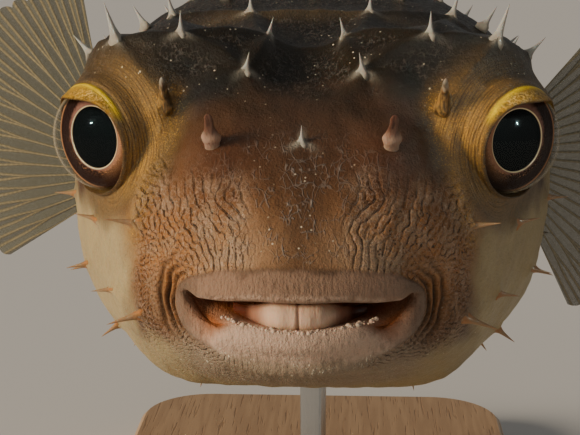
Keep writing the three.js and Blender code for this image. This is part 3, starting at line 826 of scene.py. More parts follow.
def spine_roots(points, v):
    """Skin drawn up to the spines, and the three-armed pale spots at their roots."""
    lift = np.zeros(points.shape[:-1])
    spot = np.zeros(points.shape[:-1])
    for spine in head_spines() + trunk_spines():
        rows = np.abs(v[:, 0] - spine["v"]) < 0.7
        root = skin_point(spine["v"], spine["t"])
        side, up, _ = cross_directions(skin_normal(spine["v"], spine["t"]))
        away = points[rows] - root
        distance = np.linalg.norm(away, axis=-1)
        turn = np.arctan2(away @ side, away @ up)
        arms = (0.5 + 0.5 * np.cos(3 * turn)) ** 2
        lift[rows] = np.maximum(lift[rows], 0.2 * spine["length"] * np.exp(-distance / (0.55 + 0.5 * arms)))
        label = spine["name"].strip("-")
        pale = 0 if label == FINGER_SPINE else 1 if label.startswith(PALE_SPINES) else 0.25
        spot[rows] = np.maximum(spot[rows], pale * bump(distance, 0.65 + 1.2 * arms))
    return lift, spot


def lid_vectors(points):
    """Distance out from the lids' axis over the skin, and the way round that axis on a circle of 10 mm."""
    _, distance, angle, turn = round_the_eye(points)
    out = LID["radius"] * np.radians(angle) + 0.8 * (distance - LID["radius"])
    return np.stack([out, 10 * np.cos(np.radians(turn)), 10 * np.sin(np.radians(turn))], -1)


def lined_area(points, v):
    """Where the cheeks and the chin carry dark lines, from 0 to 1."""
    x, s, h = np.abs(points[..., 0]), points[..., 1], points[..., 2]
    soft = waves(points, 6, 11)
    across = smooth(x + soft, 5, 9) * (1 - smooth(x + soft, 22, 26))
    upward = (1 - smooth(h + 1.5 * soft, 13, 20)) * smooth(h + soft, -11, -6)
    chin = 0.35 * bump(h + 12.5, 3.0) * bump(x, 17)
    area = np.maximum(across * upward, chin) * smooth(v, 4.2, 4.9) * (s < 30)
    return area * (1 - 0.85 * mouth_corner(points, v))


def skin_masks(points, v):
    """Where each colour of the skin lies, each from 0 to 1."""
    x, s, h = np.abs(points[..., 0]), points[..., 1], points[..., 2]
    _, distance, angle, turn = round_the_eye(points)
    edge = lid_edge(turn)
    soft = 0.5 * waves(points, 6, 11)
    low = h < -3
    crown = smooth(h + soft * 2.5, 23.5, 31) * smooth(v, 6.8, 7.8) * (1 - smooth(s, 44, 58))
    back = smooth(h + 2.5 * soft, 9, 27) * smooth(s, 40, 58)
    cheek = bump((x - 15.5 + soft) / 10.5, 1) * bump((h - 6.5 + soft) / 10.5, 1) * smooth(v, 4.3, 4.9)
    flank = smooth(x + soft * 2, 23.4, 27.5) * (1 - smooth(h + soft * 2, 5, 12.5))
    throat = 0.85 * (1 - smooth(h + soft * 2, -10.5, -5.5))
    behind = smooth(s, 40, 56) * (1 - back)
    orbit = (1 - smooth(distance, 12.5, 16.5)) * smooth(h + 0.4 * s, 13, 22)
    tentacle_foot = np.array([11.5, 12.8, 17.5])
    gold_span = smooth(turn, -68, -50) * (1 - smooth(turn, 38, 60))
    gold = smooth(angle, 0, 20) * (1 - smooth(angle, 68.5, 70.5)) * (distance < 13) * gold_span
    # Painted shadow line along the lids' edge, where the lid overhangs the iris.
    lid_edge_shade = bump(angle - edge, 1.7) * (distance < 12)
    wrinkle = smooth(angle, 62, 68) * (1 - smooth(distance, 10.8, 13.6))
    under_lip = (1 - smooth(h + 2 * soft, -8, -3.5)) * (1 - smooth(s + 2 * soft, 13, 26))
    return {
        "crown": np.maximum(crown, back),
        "cheek": np.clip(cheek * 1.25, 0, 1),
        "flank": np.clip(np.maximum.reduce([flank, throat * (v > 4.9), behind]), 0, 1),
        "orbit": orbit * (1 - 0.65 * smooth(h, 26, 32)),
        "nose": bump(np.linalg.norm(folded(points) - tentacle_foot, axis=-1), 6.5),
        "lip": 1 - smooth(v + 0.5 * soft + 0.6 * smooth(-h, 4, 8), 3.7 - 0.3 * low, 5.0 + 0.9 * low),
        "lip_end": np.maximum(smooth(x, 13.2, 16.5), 0.45 * bump(x, 6.5) * smooth(h, 0.5, 2)),
        "gullet": 1 - smooth(v, 1.0, 1.9),
        "gold": gold,
        "gold_shade": smooth(turn, 12, 48) * gold,
        "gold_edge": bump(angle - 67, 2.6) * gold_span * (distance < 13),
        "gold_middle": bump(angle - edge - 9, 7) * bump(around_turn(turn, -22), 30),
        "lid_edge_shade": lid_edge_shade * (0.35 + 0.65 * bump(around_turn(turn, -14), 50)),
        "inside_lid": smooth(edge - angle, 0.2, 1.2) * (distance < EYE_REACH),
        "wrinkle": wrinkle * bump(around_turn(turn, -88), 75),
        "centre": bump(x, 11) * smooth(h, 5.5, 9) * (1 - smooth(h, 19, 25)) * (s < 30),
        "lined": lined_area(points, v),
        "lower": 1 - smooth(h, 0.2, 1.4),
        "chin": (1 - smooth(h, -9, -5)) * (s < 40) * smooth(v, 4.4, 5),
        "under_lip": under_lip * (1 - smooth(x, 14, 21)),
        "above_lip": bump(v - 5.2, 0.8) * bump(x - 9, 6.5) * smooth(h, 3, 6),
        "margin": bump(v - 2.72, 0.26) * smooth(h, 0.5, 1.2),
    }


def line_gap(x, h):
    """Distance between neighbouring lines of the face, and how far they stray from running outwards."""
    corner = bump(x - 20.5, 6) * bump(h - 1, 9)
    gap = 1.12 + 0.3 * smooth(h, 9, 15) - 0.36 * corner
    gap = gap - 0.3 * bump(x, 6) - 0.3 * smooth(-h, 4, 9)
    return gap, 0.2 + 1.1 * corner


def line_field(points, v, t, normals):
    """Fine lines that run out from the mouth, fork and end: many packets of waves laid over the face."""
    rng = np.random.default_rng(LINES["seed"])
    along = np.gradient(points, v[:, 0], axis=0)
    around = np.gradient(points, t[0], axis=1)
    area = np.linalg.norm(np.cross(along, around), axis=-1)
    area = area * np.gradient(v[:, 0])[:, None] * np.gradient(t[0])
    start, end = LINES["rows"]
    region = (v > start) & (v < end) & (points[..., 0] > -1)
    chance = (area * region).ravel()
    picks = rng.choice(chance.size, LINES["count"], p=chance / chance.sum())
    field = np.zeros((2, *v.shape))
    for pick in picks:
        row, column = np.unravel_index(pick, v.shape)
        centre, normal = points[row, column], normals[row, column]
        gap, stray = line_gap(centre[0], centre[2])
        way = unit(along[row, column])
        turn = rng.normal() * stray + 0.35 * math.sin(0.55 * centre[2] + 0.4 * centre[0])
        way = way * math.cos(turn) + np.cross(normal, way) * math.sin(turn)
        wave = unit(np.cross(normal, way)) * 2 * math.pi / gap
        phase = rng.uniform(0, 2 * math.pi)
        wide = 3.2 * LINES["spread"] * gap
        dv = wide / np.linalg.norm(along[row, column])
        dt = wide / np.linalg.norm(around[row, column])
        first, last = np.searchsorted(v[:, 0], (v[row, 0] - dv, v[row, 0] + dv))
        for side in (1, -1):
            middle = t[0, column] if side == 1 else math.pi - t[0, column]
            near = np.flatnonzero(np.abs((t[0] - middle + math.pi) % (2 * math.pi) - math.pi) < dt)
            block = np.ix_(np.arange(first, last), near)
            offset = points[block] * [side, 1, 1] - centre
            envelope = np.exp(-(offset**2).sum(-1) / (2 * (LINES["spread"] * gap) ** 2))
            step = offset @ wave + phase
            field[0][block] += envelope * np.cos(step)
            field[1][block] += envelope * np.sin(step)
    return field


def skin_material(colours):
    """Layers of colour with painted shade in the hollows, grooves and slits, fine dark and pale lines,
    wrinkles round the eye with painted highlights between them, specks with painted wet glints, and pores.
    """
    nodes = Nodes("puffer_skin")
    mark, noise, cells = nodes.mark, nodes.noise, nodes.cells
    place = nodes.place()
    broad = noise(place, 5.0, detail=4.0)
    fine = noise(place, 0.9, detail=5.0, rough=0.65)
    mottle = noise(place, 0.45, detail=4.0, rough=0.7)
    grain = noise(place, 0.28, detail=3.0)
    crown, sag, lined, gold = mark("crown"), mark("sag"), mark("lined"), mark("gold")

    # The large areas.
    tan = noise(nodes.warped(place, 3.0, 2.0), 3.4, detail=3.0).smooth(0.46, 0.62) * lined
    colour = nodes.coats(
        colours.centre,
        (colours.cheek, mark("cheek") * (0.55 + 0.9 * broad)),
        (colours.nose, mark("nose") * 0.85),
        (colours.tan, tan * 0.6 + mark("above_lip") * 0.7),
        (colours.flank, mark("flank") * (0.7 + 0.5 * broad)),
        (colours.chin, mark("under_lip") * (0.7 + 0.6 * fine)),
        (colours.crown, crown),
        (colours.orbit, mark("orbit") * (0.6 + 0.7 * broad)),
        # Painted shade in the hollows between the crown's ridges and in the valley beside the eye.
        (colours.hollow_shade, (sag * crown).smooth(0.35, 0.95) * (0.55 + 0.6 * fine)),
        (colours.hollow_shade, mark("valley") * 0.5),
        (colours.rim, mark("rim") * (0.35 + 0.7 * fine)),
        (colours.rim, mark("wrinkle") * 0.85),
    )

    # Lines of the cheeks, raised lines in the middle of the face, scribbles in the hollows of the crown.
    crest, slope = mark("line_crest"), mark("line_slope")
    lines = crest / (crest * crest + slope * slope + 0.02) ** 0.5
    lines = lines + 0.9 * (noise(place, 1.6) - 0.5) - 0.25 * (grain - 0.5)
    dark_lines, groove = lines.smooth(0.92, 1.05) * lined, lines.smooth(0.35, 1.05) * lined
    threads = cells(nodes.warped(place, 0.7, 1.2), 0.8).smooth(0.13, 0.02) * lined
    dots = cells(place, 0.7, "F1").smooth(0.26, 0.16) * noise(place, 2.4).smooth(0.48, 0.56) * lined
    squeezed = nodes.vector("MULTIPLY", place, (1.0, 1.0, 0.6))
    net = cells(nodes.warped(squeezed, 1.6, 1.5), 1.5).smooth(0.07, 0.02)
    pale_lines = (net * 0.6 + lines.smooth(0.85, 1.1) * 0.8) * mark("centre")
    pale_lines = pale_lines * noise(place, 2.6).smooth(0.42, 0.56)
    scribble = cells(nodes.warped(place, 0.7, 1.3), 0.8).smooth(0.16, 0.02)
    scribble = scribble * noise(place, 0.8).smooth(0.40, 0.58)
    scribble = scribble * (crown * sag.smooth(0.1, 0.5) * (1.0 - mark("orbit")))

    # Wrinkles round the eye, with painted highlights on the strands between them.
    lid = nodes.place("lid")
    strands = noise(lid, 1.0, squeeze=(0.9, 0.10, 0.10))
    breaks = noise(lid, 1.0, squeeze=(1.9, 0.28, 0.28))
    out = nodes.value("ShaderNodeSeparateXYZ", {}, {0: lid})
    turns = 2 * math.pi / colours.wrinkle_gap
    wrinkle = (out * turns + 15.0 * strands).wave() + 2.6 * (breaks - 0.5)
    wrinkles = wrinkle.smooth(0.6, 1.15) * mark("wrinkle")
    # Painted highlights on the strands between the wrinkles.
    strand_highlight = wrinkle.smooth(-0.2, -1.0) * mark("wrinkle") * grain.smooth(0.42, 0.62)
    gilt = noise(place, 0.22).smooth(0.55, 0.68) * (mark("rim") + mark("orbit") * 0.5).limited()
    colour = nodes.coats(
        colour,
        (colours.dark_line_and_shade, mottle.smooth(0.5, 0.8) * 0.45),
        (colours.lip, threads * 0.45),
        (colours.dark_line_and_shade, dark_lines * 0.92 + dots * 0.85),
        (colours.pale_line, pale_lines * 0.72),
        (colours.pale_line, scribble * 0.3),
        (colours.dark_line_and_shade, wrinkles * 0.5),
        (colours.strand, strand_highlight * 0.5 + gilt * 0.6),
    )

    # Lips, painted shade in the mouth-corner grooves and gill slits, spine roots, and the gold upper lid with
    # painted glints, a painted shadow line along its edge and painted shade inside it.
    streaks = noise(place, 1.0, detail=3.0, squeeze=(2.6, 0.6, 0.6))
    lip = nodes.coats(
        colours.upper_lip,
        (colours.lip, mark("lower")),
        (colours.lip_end, mark("lip_end") * 0.85),
        (colours.centre, streaks.smooth(0.5, 0.75) * 0.4),
        (colours.gullet, mark("recess") * 1.3),
        (colours.lip, mark("margin") * fine.smooth(0.35, 0.6) * 0.8),
    )
    lips = (mark("lip") + 0.7 * (fine - 0.5)).smooth(0.1, 0.9)
    glints = noise(place, 0.34).smooth(0.49, 0.56)
    colour = nodes.coats(
        colour,
        (lip, lips),
        (colours.gullet, mark("gullet")),
        # Painted shade in the grooves outside the corners of the mouth.
        (colours.dark_line_and_shade, (mark("corner") * 1.2).limited() * 0.9),
        # Painted shade in the gill slits.
        (colours.dark_line_and_shade, mark("slit")),
        (colours.spot, mark("spot") * (0.6 + 0.5 * fine).limited()),
        (colours.gold, gold),
        (colours.dark_line_and_shade, gold * fine.smooth(0.50, 0.38) * 0.6),
        # Painted glints on the middle of the gold upper lid.
        (colours.gold_glint_speck, gold * mark("gold_middle") * glints * 0.9),
        (colours.lid_rim, mark("gold_edge") * (0.6 + 0.8 * fine).limited()),
        (colours.orbit, mark("gold_shade") * 0.7),
        # Painted shadow line along the lids' edge over the iris.
        (colours.dark_line_and_shade, mark("lid_edge_shade") * (0.6 + 0.8 * fine)),
        # Painted shade in the cup inside the lids, behind the globe.
        (colours.hollow_shade, mark("inside_lid")),
    )

    # Specks, and painted wet glints under the lip that stand in for highlights.
    speck_and_glint = cells(place, 1.25, "F1").smooth(0.15, 0.08) * noise(place, 1.7, detail=0.0).smooth(0.47, 0.53)
    speck_and_glint = speck_and_glint * (crown + mark("centre") * 0.7 + mark("chin")).limited()
    wet_glint = noise(place, 0.5, detail=1.0, squeeze=(2.4, 1.0, 0.8)).smooth(0.63, 0.68) * mark("under_lip")
    speck_and_glint = (speck_and_glint + wet_glint * noise(place, 3.0).smooth(0.45, 0.6)).limited()
    colour = nodes.coats(colour, (colours.speck_and_glint, speck_and_glint * 0.85))
    colour = nodes.darkened(colour, 0.66 + 0.44 * fine + 0.24 * grain + 0.9 * (grain - 0.5) * lined)

    height = 0.5 * fine + 0.35 * mottle + 0.22 * grain - 0.6 * groove - 0.3 * dots - 0.5 * wrinkles
    height = height + 0.3 * threads + 0.6 * pale_lines + 0.35 * scribble - 0.5 * streaks * lips
    rough = (0.52 - 0.2 * fine - 0.1 * mark("lip") - 0.3 * speck_and_glint).limited()
    return nodes.surface(
        {"Base Color": colour, "Roughness": rough, "Normal": nodes.bumps(height, 0.42)},
        {"Subsurface Weight": 0.10, "Subsurface Scale": 0.0012, "Specular IOR Level": 0.38},
    )


class PUFFER_OT_skin(bpy.types.Operator):
    """Model the one skin of head, trunk and tail, with lids, folds and tented ridges"""

    bl_idname = "puffer.skin"
    bl_label = "Skin"

    def execute(self, context):
        v, t = skin_grid()
        plain = skin_point(v, t)
        along = np.gradient(plain, axis=0)
        around = np.roll(plain, -1, axis=1) - np.roll(plain, 1, axis=1)
        normals = unit(np.cross(along, around))
        points, folds = fold_skin(plain, normals, v)
        lift, spot = spine_roots(plain, v)
        crest, slope = line_field(plain, v, t, normals)
        groove = smooth(crest / np.sqrt(crest**2 + slope**2 + 0.02), 0.1, 1) * lined_area(plain, v)
        points = points + normals * (lift - 0.075 * groove)[..., None]
        points = shape_lids(points)
        marks = {**skin_masks(points, v), **folds, "spot": spot, "line_crest": crest, "line_slope": slope}
        flat, faces = closed_rings(points)
        values = {label: with_ends(mark, v.shape) for label, mark in marks.items()}
        lid = lid_vectors(points).reshape(-1, 3)
        values["lid"] = np.concatenate([lid, lid[:1], lid[-1:]])
        skin = mesh_object("skin", to_world(flat), faces, skin_material(context.scene.puffer_skin), values)
        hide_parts("head", "trunk", "tail_stalk")
        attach(skin, "root")
        return {"FINISHED"}


# ---- Spines ----
def spine_rings(spine):
    """Rings of one spine: a thorn on a flared root of three arms, or a round finger sheathed in skin."""
    normal = skin_normal(spine["v"], spine["t"])
    root = skin_point(spine["v"], spine["t"]) - normal * 0.35
    way = unit(normal + np.array([0, spine["lean"], spine["lift"]]))
    side, up, way = cross_directions(way, normal)
    length = spine["length"] + 0.35
    z = np.concatenate([[-1.2, -0.5], np.linspace(0, 1, 22) ** 1.3])
    turn = np.linspace(0, 2 * math.pi, 18, endpoint=False)
    share = np.clip(z, 0, 1)[:, None]
    if FINGER_SPINE in spine["name"]:
        radius = 0.8 * (1 - 0.4 * share) * np.sqrt(np.maximum(1 - share**5, 1e-4)) + 0.5 * (1 - share) ** 5
        lumps = np.sin(17 * share + 2 * turn) * np.sin(9 * share - 3 * turn + 1.3)
        radius = radius * (1 + 0.08 * lumps + 0.08 * np.cos(3 * turn + 5 * share))
    else:
        arms = (0.5 + 0.5 * np.cos(3 * turn)) ** 2
        radius = (0.08 + 0.1 * spine["length"]) * (1 - share) ** 0.95 + 0.02
        radius = radius + (1 - share) ** 6 * (0.28 + 0.55 * arms)
    height = np.where(z < 0, z, z * length)[:, None] + 0 * turn
    across = np.cos(turn)[:, None] * side + np.sin(turn)[:, None] * up
    points = root + radius[..., None] * across + height[..., None] * way
    label = spine["name"].strip("-")
    pale, sheath = float(label.startswith(PALE_SPINES)), float(label == FINGER_SPINE)
    return points, {"tip": np.clip(height / length, 0, 1), "pale": pale, "sheath": sheath}


def spine_material(colours, skin_colours):
    """Bony pale thorns, tan ones on the sides, and fingers in a streaked sheath of skin with a painted
    highlight towards the tip.
    """
    nodes = Nodes("puffer_spine")
    place = nodes.place()
    grain = nodes.noise(place, 0.5, detail=3.0)
    tip = nodes.mark("tip")
    pale, sheathed = nodes.mark("pale"), nodes.mark("sheath")
    foot = nodes.coats(skin_colours.cheek, (skin_colours.spot, pale))
    thorn = nodes.coats(colours.thorn, (colours.spine, pale))
    streak = nodes.noise(place, 1.0, detail=3.0, squeeze=(2.6, 2.6, 0.5))
    sheath = nodes.coats(
        skin_colours.orbit,
        (skin_colours.rim, streak.smooth(0.45, 0.6)),
        (skin_colours.dark_line_and_shade, streak.smooth(0.44, 0.34) * 0.6),
        # Painted highlight: pale streaks towards the finger's tip.
        (skin_colours.spot, (tip + streak * 1.3).smooth(1.2, 1.6) * 0.8),
    )
    colour = nodes.coats(foot, (thorn, tip.smooth(0.05, 0.35)), (sheath, sheathed))
    colour = nodes.darkened(colour, 0.75 + 0.4 * grain)
    return nodes.surface(
        {"Base Color": colour, "Normal": nodes.bumps(grain + streak * sheathed * 2.0, 0.08)},
        {"Roughness": 0.38, "Subsurface Weight": 0.25, "Subsurface Scale": 0.001},
    )


class PUFFER_OT_spines(bpy.types.Operator):
    """Model all the fixed spines as one piece of joined solid thorns"""

    bl_idname = "puffer.spines"
    bl_label = "Spines"

    def execute(self, context):
        parts = [spine_rings(spine) for spine in head_spines() + trunk_spines()]
        finish = spine_material(context.scene.puffer_pieces, context.scene.puffer_skin)
        spines = joined("spines", parts, finish)
        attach(spines, "root")
        return {"FINISHED"}


# ---- Nose ----
TENTACLE = {"root": (12.8, 13.2, 21.8), "way": (0.06, -0.52, 0.85), "length": 5.3, "flat": 0.66}


def tentacle_rings(side):
    """A stubby finger with a swollen foot and a shallow trough up its front."""
    mirror = np.array([side, 1, 1])
    root = np.array(TENTACLE["root"]) * mirror
    across, deep, way = cross_directions(np.array(TENTACLE["way"]) * mirror)
    z = np.concatenate([[-1.4, -0.7], np.sin(np.linspace(0, math.pi / 2, 40))])
    turn = np.linspace(0, 2 * math.pi, 40, endpoint=False)
    share = np.clip(z, 0, 1)[:, None]
    radius = 0.72 + 0.66 * bump(share - 0.17, 0.24)
    radius = radius * np.sqrt(np.maximum(1 - share**6, 1e-3)) + 0 * turn
    trough = bump(around_turn(np.degrees(turn), -90), 44) * smooth(share, 0.4, 0.62)
    lumps = 0.10 * np.sin(8 * share + 2 * turn) + 0.05 * np.sin(19 * share - 3 * turn)
    radius = radius * (1 - 0.45 * trough) * (1 + lumps * (0.3 + 0.7 * share))
    height = np.where(z < 0, z, z * TENTACLE["length"])[:, None] + 0 * turn
    ring = np.cos(turn)[:, None] * across + TENTACLE["flat"] * np.sin(turn)[:, None] * deep
    points = root + radius[..., None] * ring + height[..., None] * way
    return points, {"tip": share + 0 * turn, "trough": trough}


def tentacle_material(colours, skin_colours):
    """Striped mauve brown skin, paler at the foot."""
    nodes = Nodes("puffer_tentacle")
    stripes = nodes.noise(nodes.place(), 1.0, detail=4.0, squeeze=(3.0, 3.0, 0.5))
    colour = nodes.coats(
        colours.tentacle,
        (skin_colours.nose, stripes.smooth(0.45, 0.7)),
        (skin_colours.lip, nodes.mark("tip").smooth(0.5, 0.22) * 0.55),
        (skin_colours.nose, nodes.mark("trough") * 0.5),
    )
    return nodes.surface(
        {"Base Color": colour, "Normal": nodes.bumps(stripes, 0.15)},
        {"Roughness": 0.42, "Subsurface Weight": 0.4, "Subsurface Scale": 0.0015},
    )


class PUFFER_OT_nose(bpy.types.Operator):
    """Model the two nasal tentacles that stand over the snout"""

    bl_idname = "puffer.nose"
    bl_label = "Nasal tentacles"

    def execute(self, context):
        material = tentacle_material(context.scene.puffer_pieces, context.scene.puffer_skin)
        for label, side in (("left", 1), ("right", -1)):
            tentacle = joined(f"tentacle_{label}", [tentacle_rings(side)], material)
            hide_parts(f"nasal_tentacle_{label}")
            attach(tentacle, "root")
        return {"FINISHED"}


# ---- Eyes ----
EYE_COLUMNS = 120


def globe_rings(side):
    """The globe behind the clear cornea: a domed pupil, a shallow dish of iris, and the round back."""
    centre = np.array([side * EYE_X, EYE_S, EYE_H])
    axis, up, out = axis_frame(IRIS["yaw"], IRIS["pitch"], side)
    pupil, rim, plane = IRIS["pupil"], IRIS["radius"], IRIS["plane"]
    dome = np.linspace(0.02, pupil * 0.985, 26)
    dome = [(r, plane - 0.25 + 0.9 * (1 - (r / pupil) ** 2)) for r in dome]
    lip = [(pupil * 0.99, plane - 0.32), (pupil, plane + 0.02), (pupil + 0.14, plane + 0.12)]
    iris = [(r, plane + 0.1 - 0.55 * smooth(r, pupil, rim)) for r in np.linspace(pupil + 0.28, rim, 30)]
    back = np.linspace(0.08, math.pi / 2 - 0.05, 16)
    back = [(rim * math.cos(a), plane - 0.45 - 9.5 * math.sin(a)) for a in back]
    profile = dome + lip + iris + back
    points = turned(profile, EYE_COLUMNS, centre, (out, up, axis))
    radius = np.array([r for r, _ in profile])[:, None]
    turn = np.linspace(0, 360, EYE_COLUMNS, endpoint=False)[None, :]
    behind = np.arange(len(profile))[:, None] >= len(profile) - len(back)
    return points, {
        "radius": radius + 0 * turn,
        "outward": np.cos(np.radians(turn)) + 0 * radius,
        "upward": np.sin(np.radians(turn)) + 0 * radius,
        "behind": behind + 0.0 * turn,
    }


def globe_material(colours):
    """Black pupil with a bright rim, pink brown inside and dark copper outside."""
    nodes = Nodes("puffer_globe")
    place = nodes.place()
    radius = nodes.mark("radius")
    streaks = nodes.noise(place, 0.55, detail=4.0, rough=0.6)
    glints = nodes.noise(place, 0.2, detail=3.0)
    pupil, rim = IRIS["pupil"], IRIS["radius"]
    outward, upward = nodes.mark("outward"), nodes.mark("upward")
    width = 0.34 + 0.16 * upward - 0.10 * outward
    share = (radius - pupil) / (rim - pupil) + 0.3 * (streaks - 0.5)
    copper = share.smooth(0.9, 0.1) * (-0.9 * outward - 0.1).limited()
    low = (0.55 - 0.6 * upward - 0.3 * outward).limited()
    metal = glints.smooth(0.56, 0.66) * share.smooth(0.08, 0.2) * share.smooth(0.5, 0.25) * low
    edge = radius.smooth(rim - 0.35, rim - 0.12) * 0.5
    bright = radius.smooth(pupil - 0.02, pupil + 0.04) * radius.smooth(pupil + 0.24, pupil + 0.13)
    black = radius.smooth(pupil + 0.02, pupil - 0.03)
    colour = nodes.coats(
        colours.iris,
        (colours.iris_edge, (share / width).smooth(0.35, 1.1)),
        (colours.iris_metal, copper * 0.5),
        (colours.iris_metal, metal * 0.7),
        (colours.iris_metal, edge * outward.smooth(-0.3, 0.5)),
        (colours.pupil_ring, bright),
        (colours.pupil, black),
        (colours.iris_edge, nodes.mark("behind")),
    )
    gloss = {"Roughness": 0.34 + 0.4 * black, "Metallic": (metal + bright) * 0.35}
    return nodes.surface(
        {"Base Color": colour, "Normal": nodes.bumps(streaks, 0.1), **gloss},
        {"Specular IOR Level": 0.12},
    )


def cornea_material(colours):
    """Clear skin of the eye. Where it is seen at a slant its colour turns to a fine bright line, a painted
    reflection at its edge.
    """
    nodes = Nodes("puffer_cornea")
    edge = nodes.value("ShaderNodeLayerWeight", {}, {"Blend": 0.5}, "Facing") ** 6.0
    # Painted reflection: the edge seen at a slant turns bright.
    colour = nodes.darkened(colours.cornea, edge.smooth(0.0, 0.3))
    return nodes.surface(
        {"Base Color": colour, "Alpha": (0.10 + 0.82 * edge).limited()},
        {"Roughness": 0.08, "Specular IOR Level": 1.0},
    )


class PUFFER_OT_eyes(bpy.types.Operator):
    """Model each eye as a globe with its iris and pupil, under a clear cornea"""

    bl_idname = "puffer.eyes"
    bl_label = "Eyes"

    def execute(self, context):
        colours = context.scene.puffer_pieces
        globe_finish, clear_finish = globe_material(colours), cornea_material(colours)
        angle = np.linspace(0.02, math.pi - 0.02, 72)
        profile = np.stack([np.sin(angle), np.cos(angle)], -1) * (EYE_RADIUS - 0.05)
        for label, side in (("left", 1), ("right", -1)):
            globe = joined(f"globe_{label}", [globe_rings(side)], globe_finish)
            centre = np.array([side * EYE_X, EYE_S, EYE_H])
            axis, up, out = axis_frame(LID["yaw"], LID["pitch"], side)
            ball = turned(profile, EYE_COLUMNS, centre, (out, up, axis))
            cornea = joined(f"cornea_{label}", [(ball, {})], clear_finish)
            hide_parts(f"eye_{label}")
            for piece in (globe, cornea):
                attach(piece, "root")
        return {"FINISHED"}


# ---- Mouth ----
BEAK = {"half_width": 9.6, "pillow": 6.9, "curve": 4.4, "thick": 2.1, "end_thick": 0.7}
BEAK_HALVES = {"upper": (0.9, 2.9, 3.6), "lower": (-3.0, 0.95, 3.0)}


def beak_rings(low, high, forward):
    """A curved plate across the mouth: two pillows with a groove between them, and thin ends set back."""
    share = np.linspace(-1, 1, 161)
    turn = np.linspace(0, 2 * math.pi, 32, endpoint=False)
    x = share[:, None] * BEAK["half_width"]
    ends = smooth(np.abs(x), BEAK["pillow"] - 4.2, BEAK["pillow"] + 1.6)
    groove = bump(x, 0.24) * 0.34
    dents = 0.08 * np.sin(x * 2.3 + 1.1) * (1 - ends) * np.sin(x * 0.9)
    thick = BEAK["thick"] + (BEAK["end_thick"] - BEAK["thick"]) * ends - groove - dents
    tall = (high - low) * (0.5 - 0.24 * ends) - 0.1 * bump(x, 0.4)
    s = forward + BEAK["curve"] * share[:, None] ** 2 + 2.2 * ends - thick * np.cos(turn)
    h = (low + high) / 2 - 0.7 * ends * (high < 1) + tall * np.sin(turn)
    points = np.stack([x + 0 * turn, s, h], -1)
    return points, {"groove": groove / 0.34 + 0 * turn, "across": x + 0 * turn}


def beak_material(colours):
    """Pinkish white, browner in the groove and towards the ends, with painted shade at the very ends where
    they go back into the mouth.
    """
    nodes = Nodes("puffer_beak")
    fine = nodes.noise(nodes.place(), 0.8, detail=4.0, squeeze=(2.2, 1.0, 0.5))
    out = nodes.mark("across").size()
    colour = nodes.coats(
        colours.beak,
        (colours.beak_groove, nodes.mark("groove") * 0.7),
        (colours.beak_side, out.smooth(4.0, 6.4) + 0.4 * fine - 0.2),
        # Painted shade at the ends of the beak, where they go back into the mouth.
        (colours.beak_end_shade, out.smooth(6.4, 7.8)),
    )
    return nodes.surface(
        {"Base Color": nodes.darkened(colour, 0.8 + 0.35 * fine), "Normal": nodes.bumps(fine, 0.12)},
        {"Roughness": 0.22, "Subsurface Weight": 0.3, "Subsurface Scale": 0.0015, "Coat Weight": 0.4},
    )


def papillae():
    """The row of small white knobs along the inner edge of the lower lip."""
    rng = np.random.default_rng(7)
    parts = []
    polar = np.linspace(0.05, math.pi - 0.05, 12)
    for angle in np.linspace(-136, -44, 92):
        t = math.radians(angle + rng.uniform(-1.2, 1.2))
        v = 2.12 + rng.normal() * 0.12
        size = 0.1 + 0.24 * rng.random() ** 2.2
        side, up, way = cross_directions(skin_normal(v, t))
        profile = np.stack([np.sin(polar), np.cos(polar)], -1) * size
        root = skin_point(v, t) - way * (0.24 + 0.45 * size)
        rings = turned(profile * [rng.uniform(1, 1.5), 1.3], 14, root, (side, up, way))
        parts.append((rings, {}))
    return parts


def knob_material(colours, skin_colours):
    """Wet knobs, a little paler than the lip."""
    nodes = Nodes("puffer_knob")
    grain = nodes.noise(nodes.place(), 0.4)
    colour = nodes.coats(skin_colours.lip, (colours.knob, grain.smooth(0.42, 0.6) * 0.7))
    return nodes.surface(
        {"Base Color": colour},
        {"Roughness": 0.25, "Subsurface Weight": 0.2, "Subsurface Scale": 0.001},
    )


class PUFFER_OT_mouth(bpy.types.Operator):
    """Model the two halves of the beak and the knobs on the lower lip"""

    bl_idname = "puffer.mouth"
    bl_label = "Beak and lip knobs"

    def execute(self, context):
        colours = context.scene.puffer_pieces
        material = beak_material(colours)
        for half, (low, high, forward) in BEAK_HALVES.items():
            beak = joined(f"plate_{half}", [beak_rings(low, high, forward)], material)
            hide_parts(f"beak_{half}")
            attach(beak, "root")
        knobs = joined("lip_knobs", papillae(), knob_material(colours, context.scene.puffer_skin))
        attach(knobs, "root")
        return {"FINISHED"}


# ---- Fins ----
# Root middle and length, root direction, first and last ray by angle, ray lengths at the first edge, the
# middle and the last edge, and the number of rays. Angles turn from the fin's outward direction to straight
# up. The pectoral fins share PECTORAL, turned by an angle.
FINS = {
    "pectoral_fin_left": {"side": 1, "turn": -30, "rays": 20},
    "pectoral_fin_right": {"side": -1, "turn": 0, "rays": 20},
    "dorsal_fin": {
        **{"root": (141, 26), "length": 15, "slope": (1, -0.36)},
        **{"angles": (74, 14), "reach": (20, 25, 17), "rays": 12},
    },
    "anal_fin": {
        **{"root": (145, -5), "length": 12, "slope": (1, 0.5)},
        **{"angles": (-72, -12), "reach": (16, 22, 15), "rays": 11},
    },
    "tail_fin": {
        **{"root": (170, 12.2), "length": 13, "slope": (0, -1)},
        **{"angles": (24, -24), "reach": (27, 30, 27), "rays": 9},
    },
}
PECTORAL = {
    **{"root": (36.5, 62, 12), "length": 15, "slope": (0, 0.12, -1)},
    **{"angles": (77, -34), "reach": (21, 33, 26)},
}
UP = np.array([0.0, 0.0, 1.0])
BACK = np.array([0.0, 1.0, 0.0])


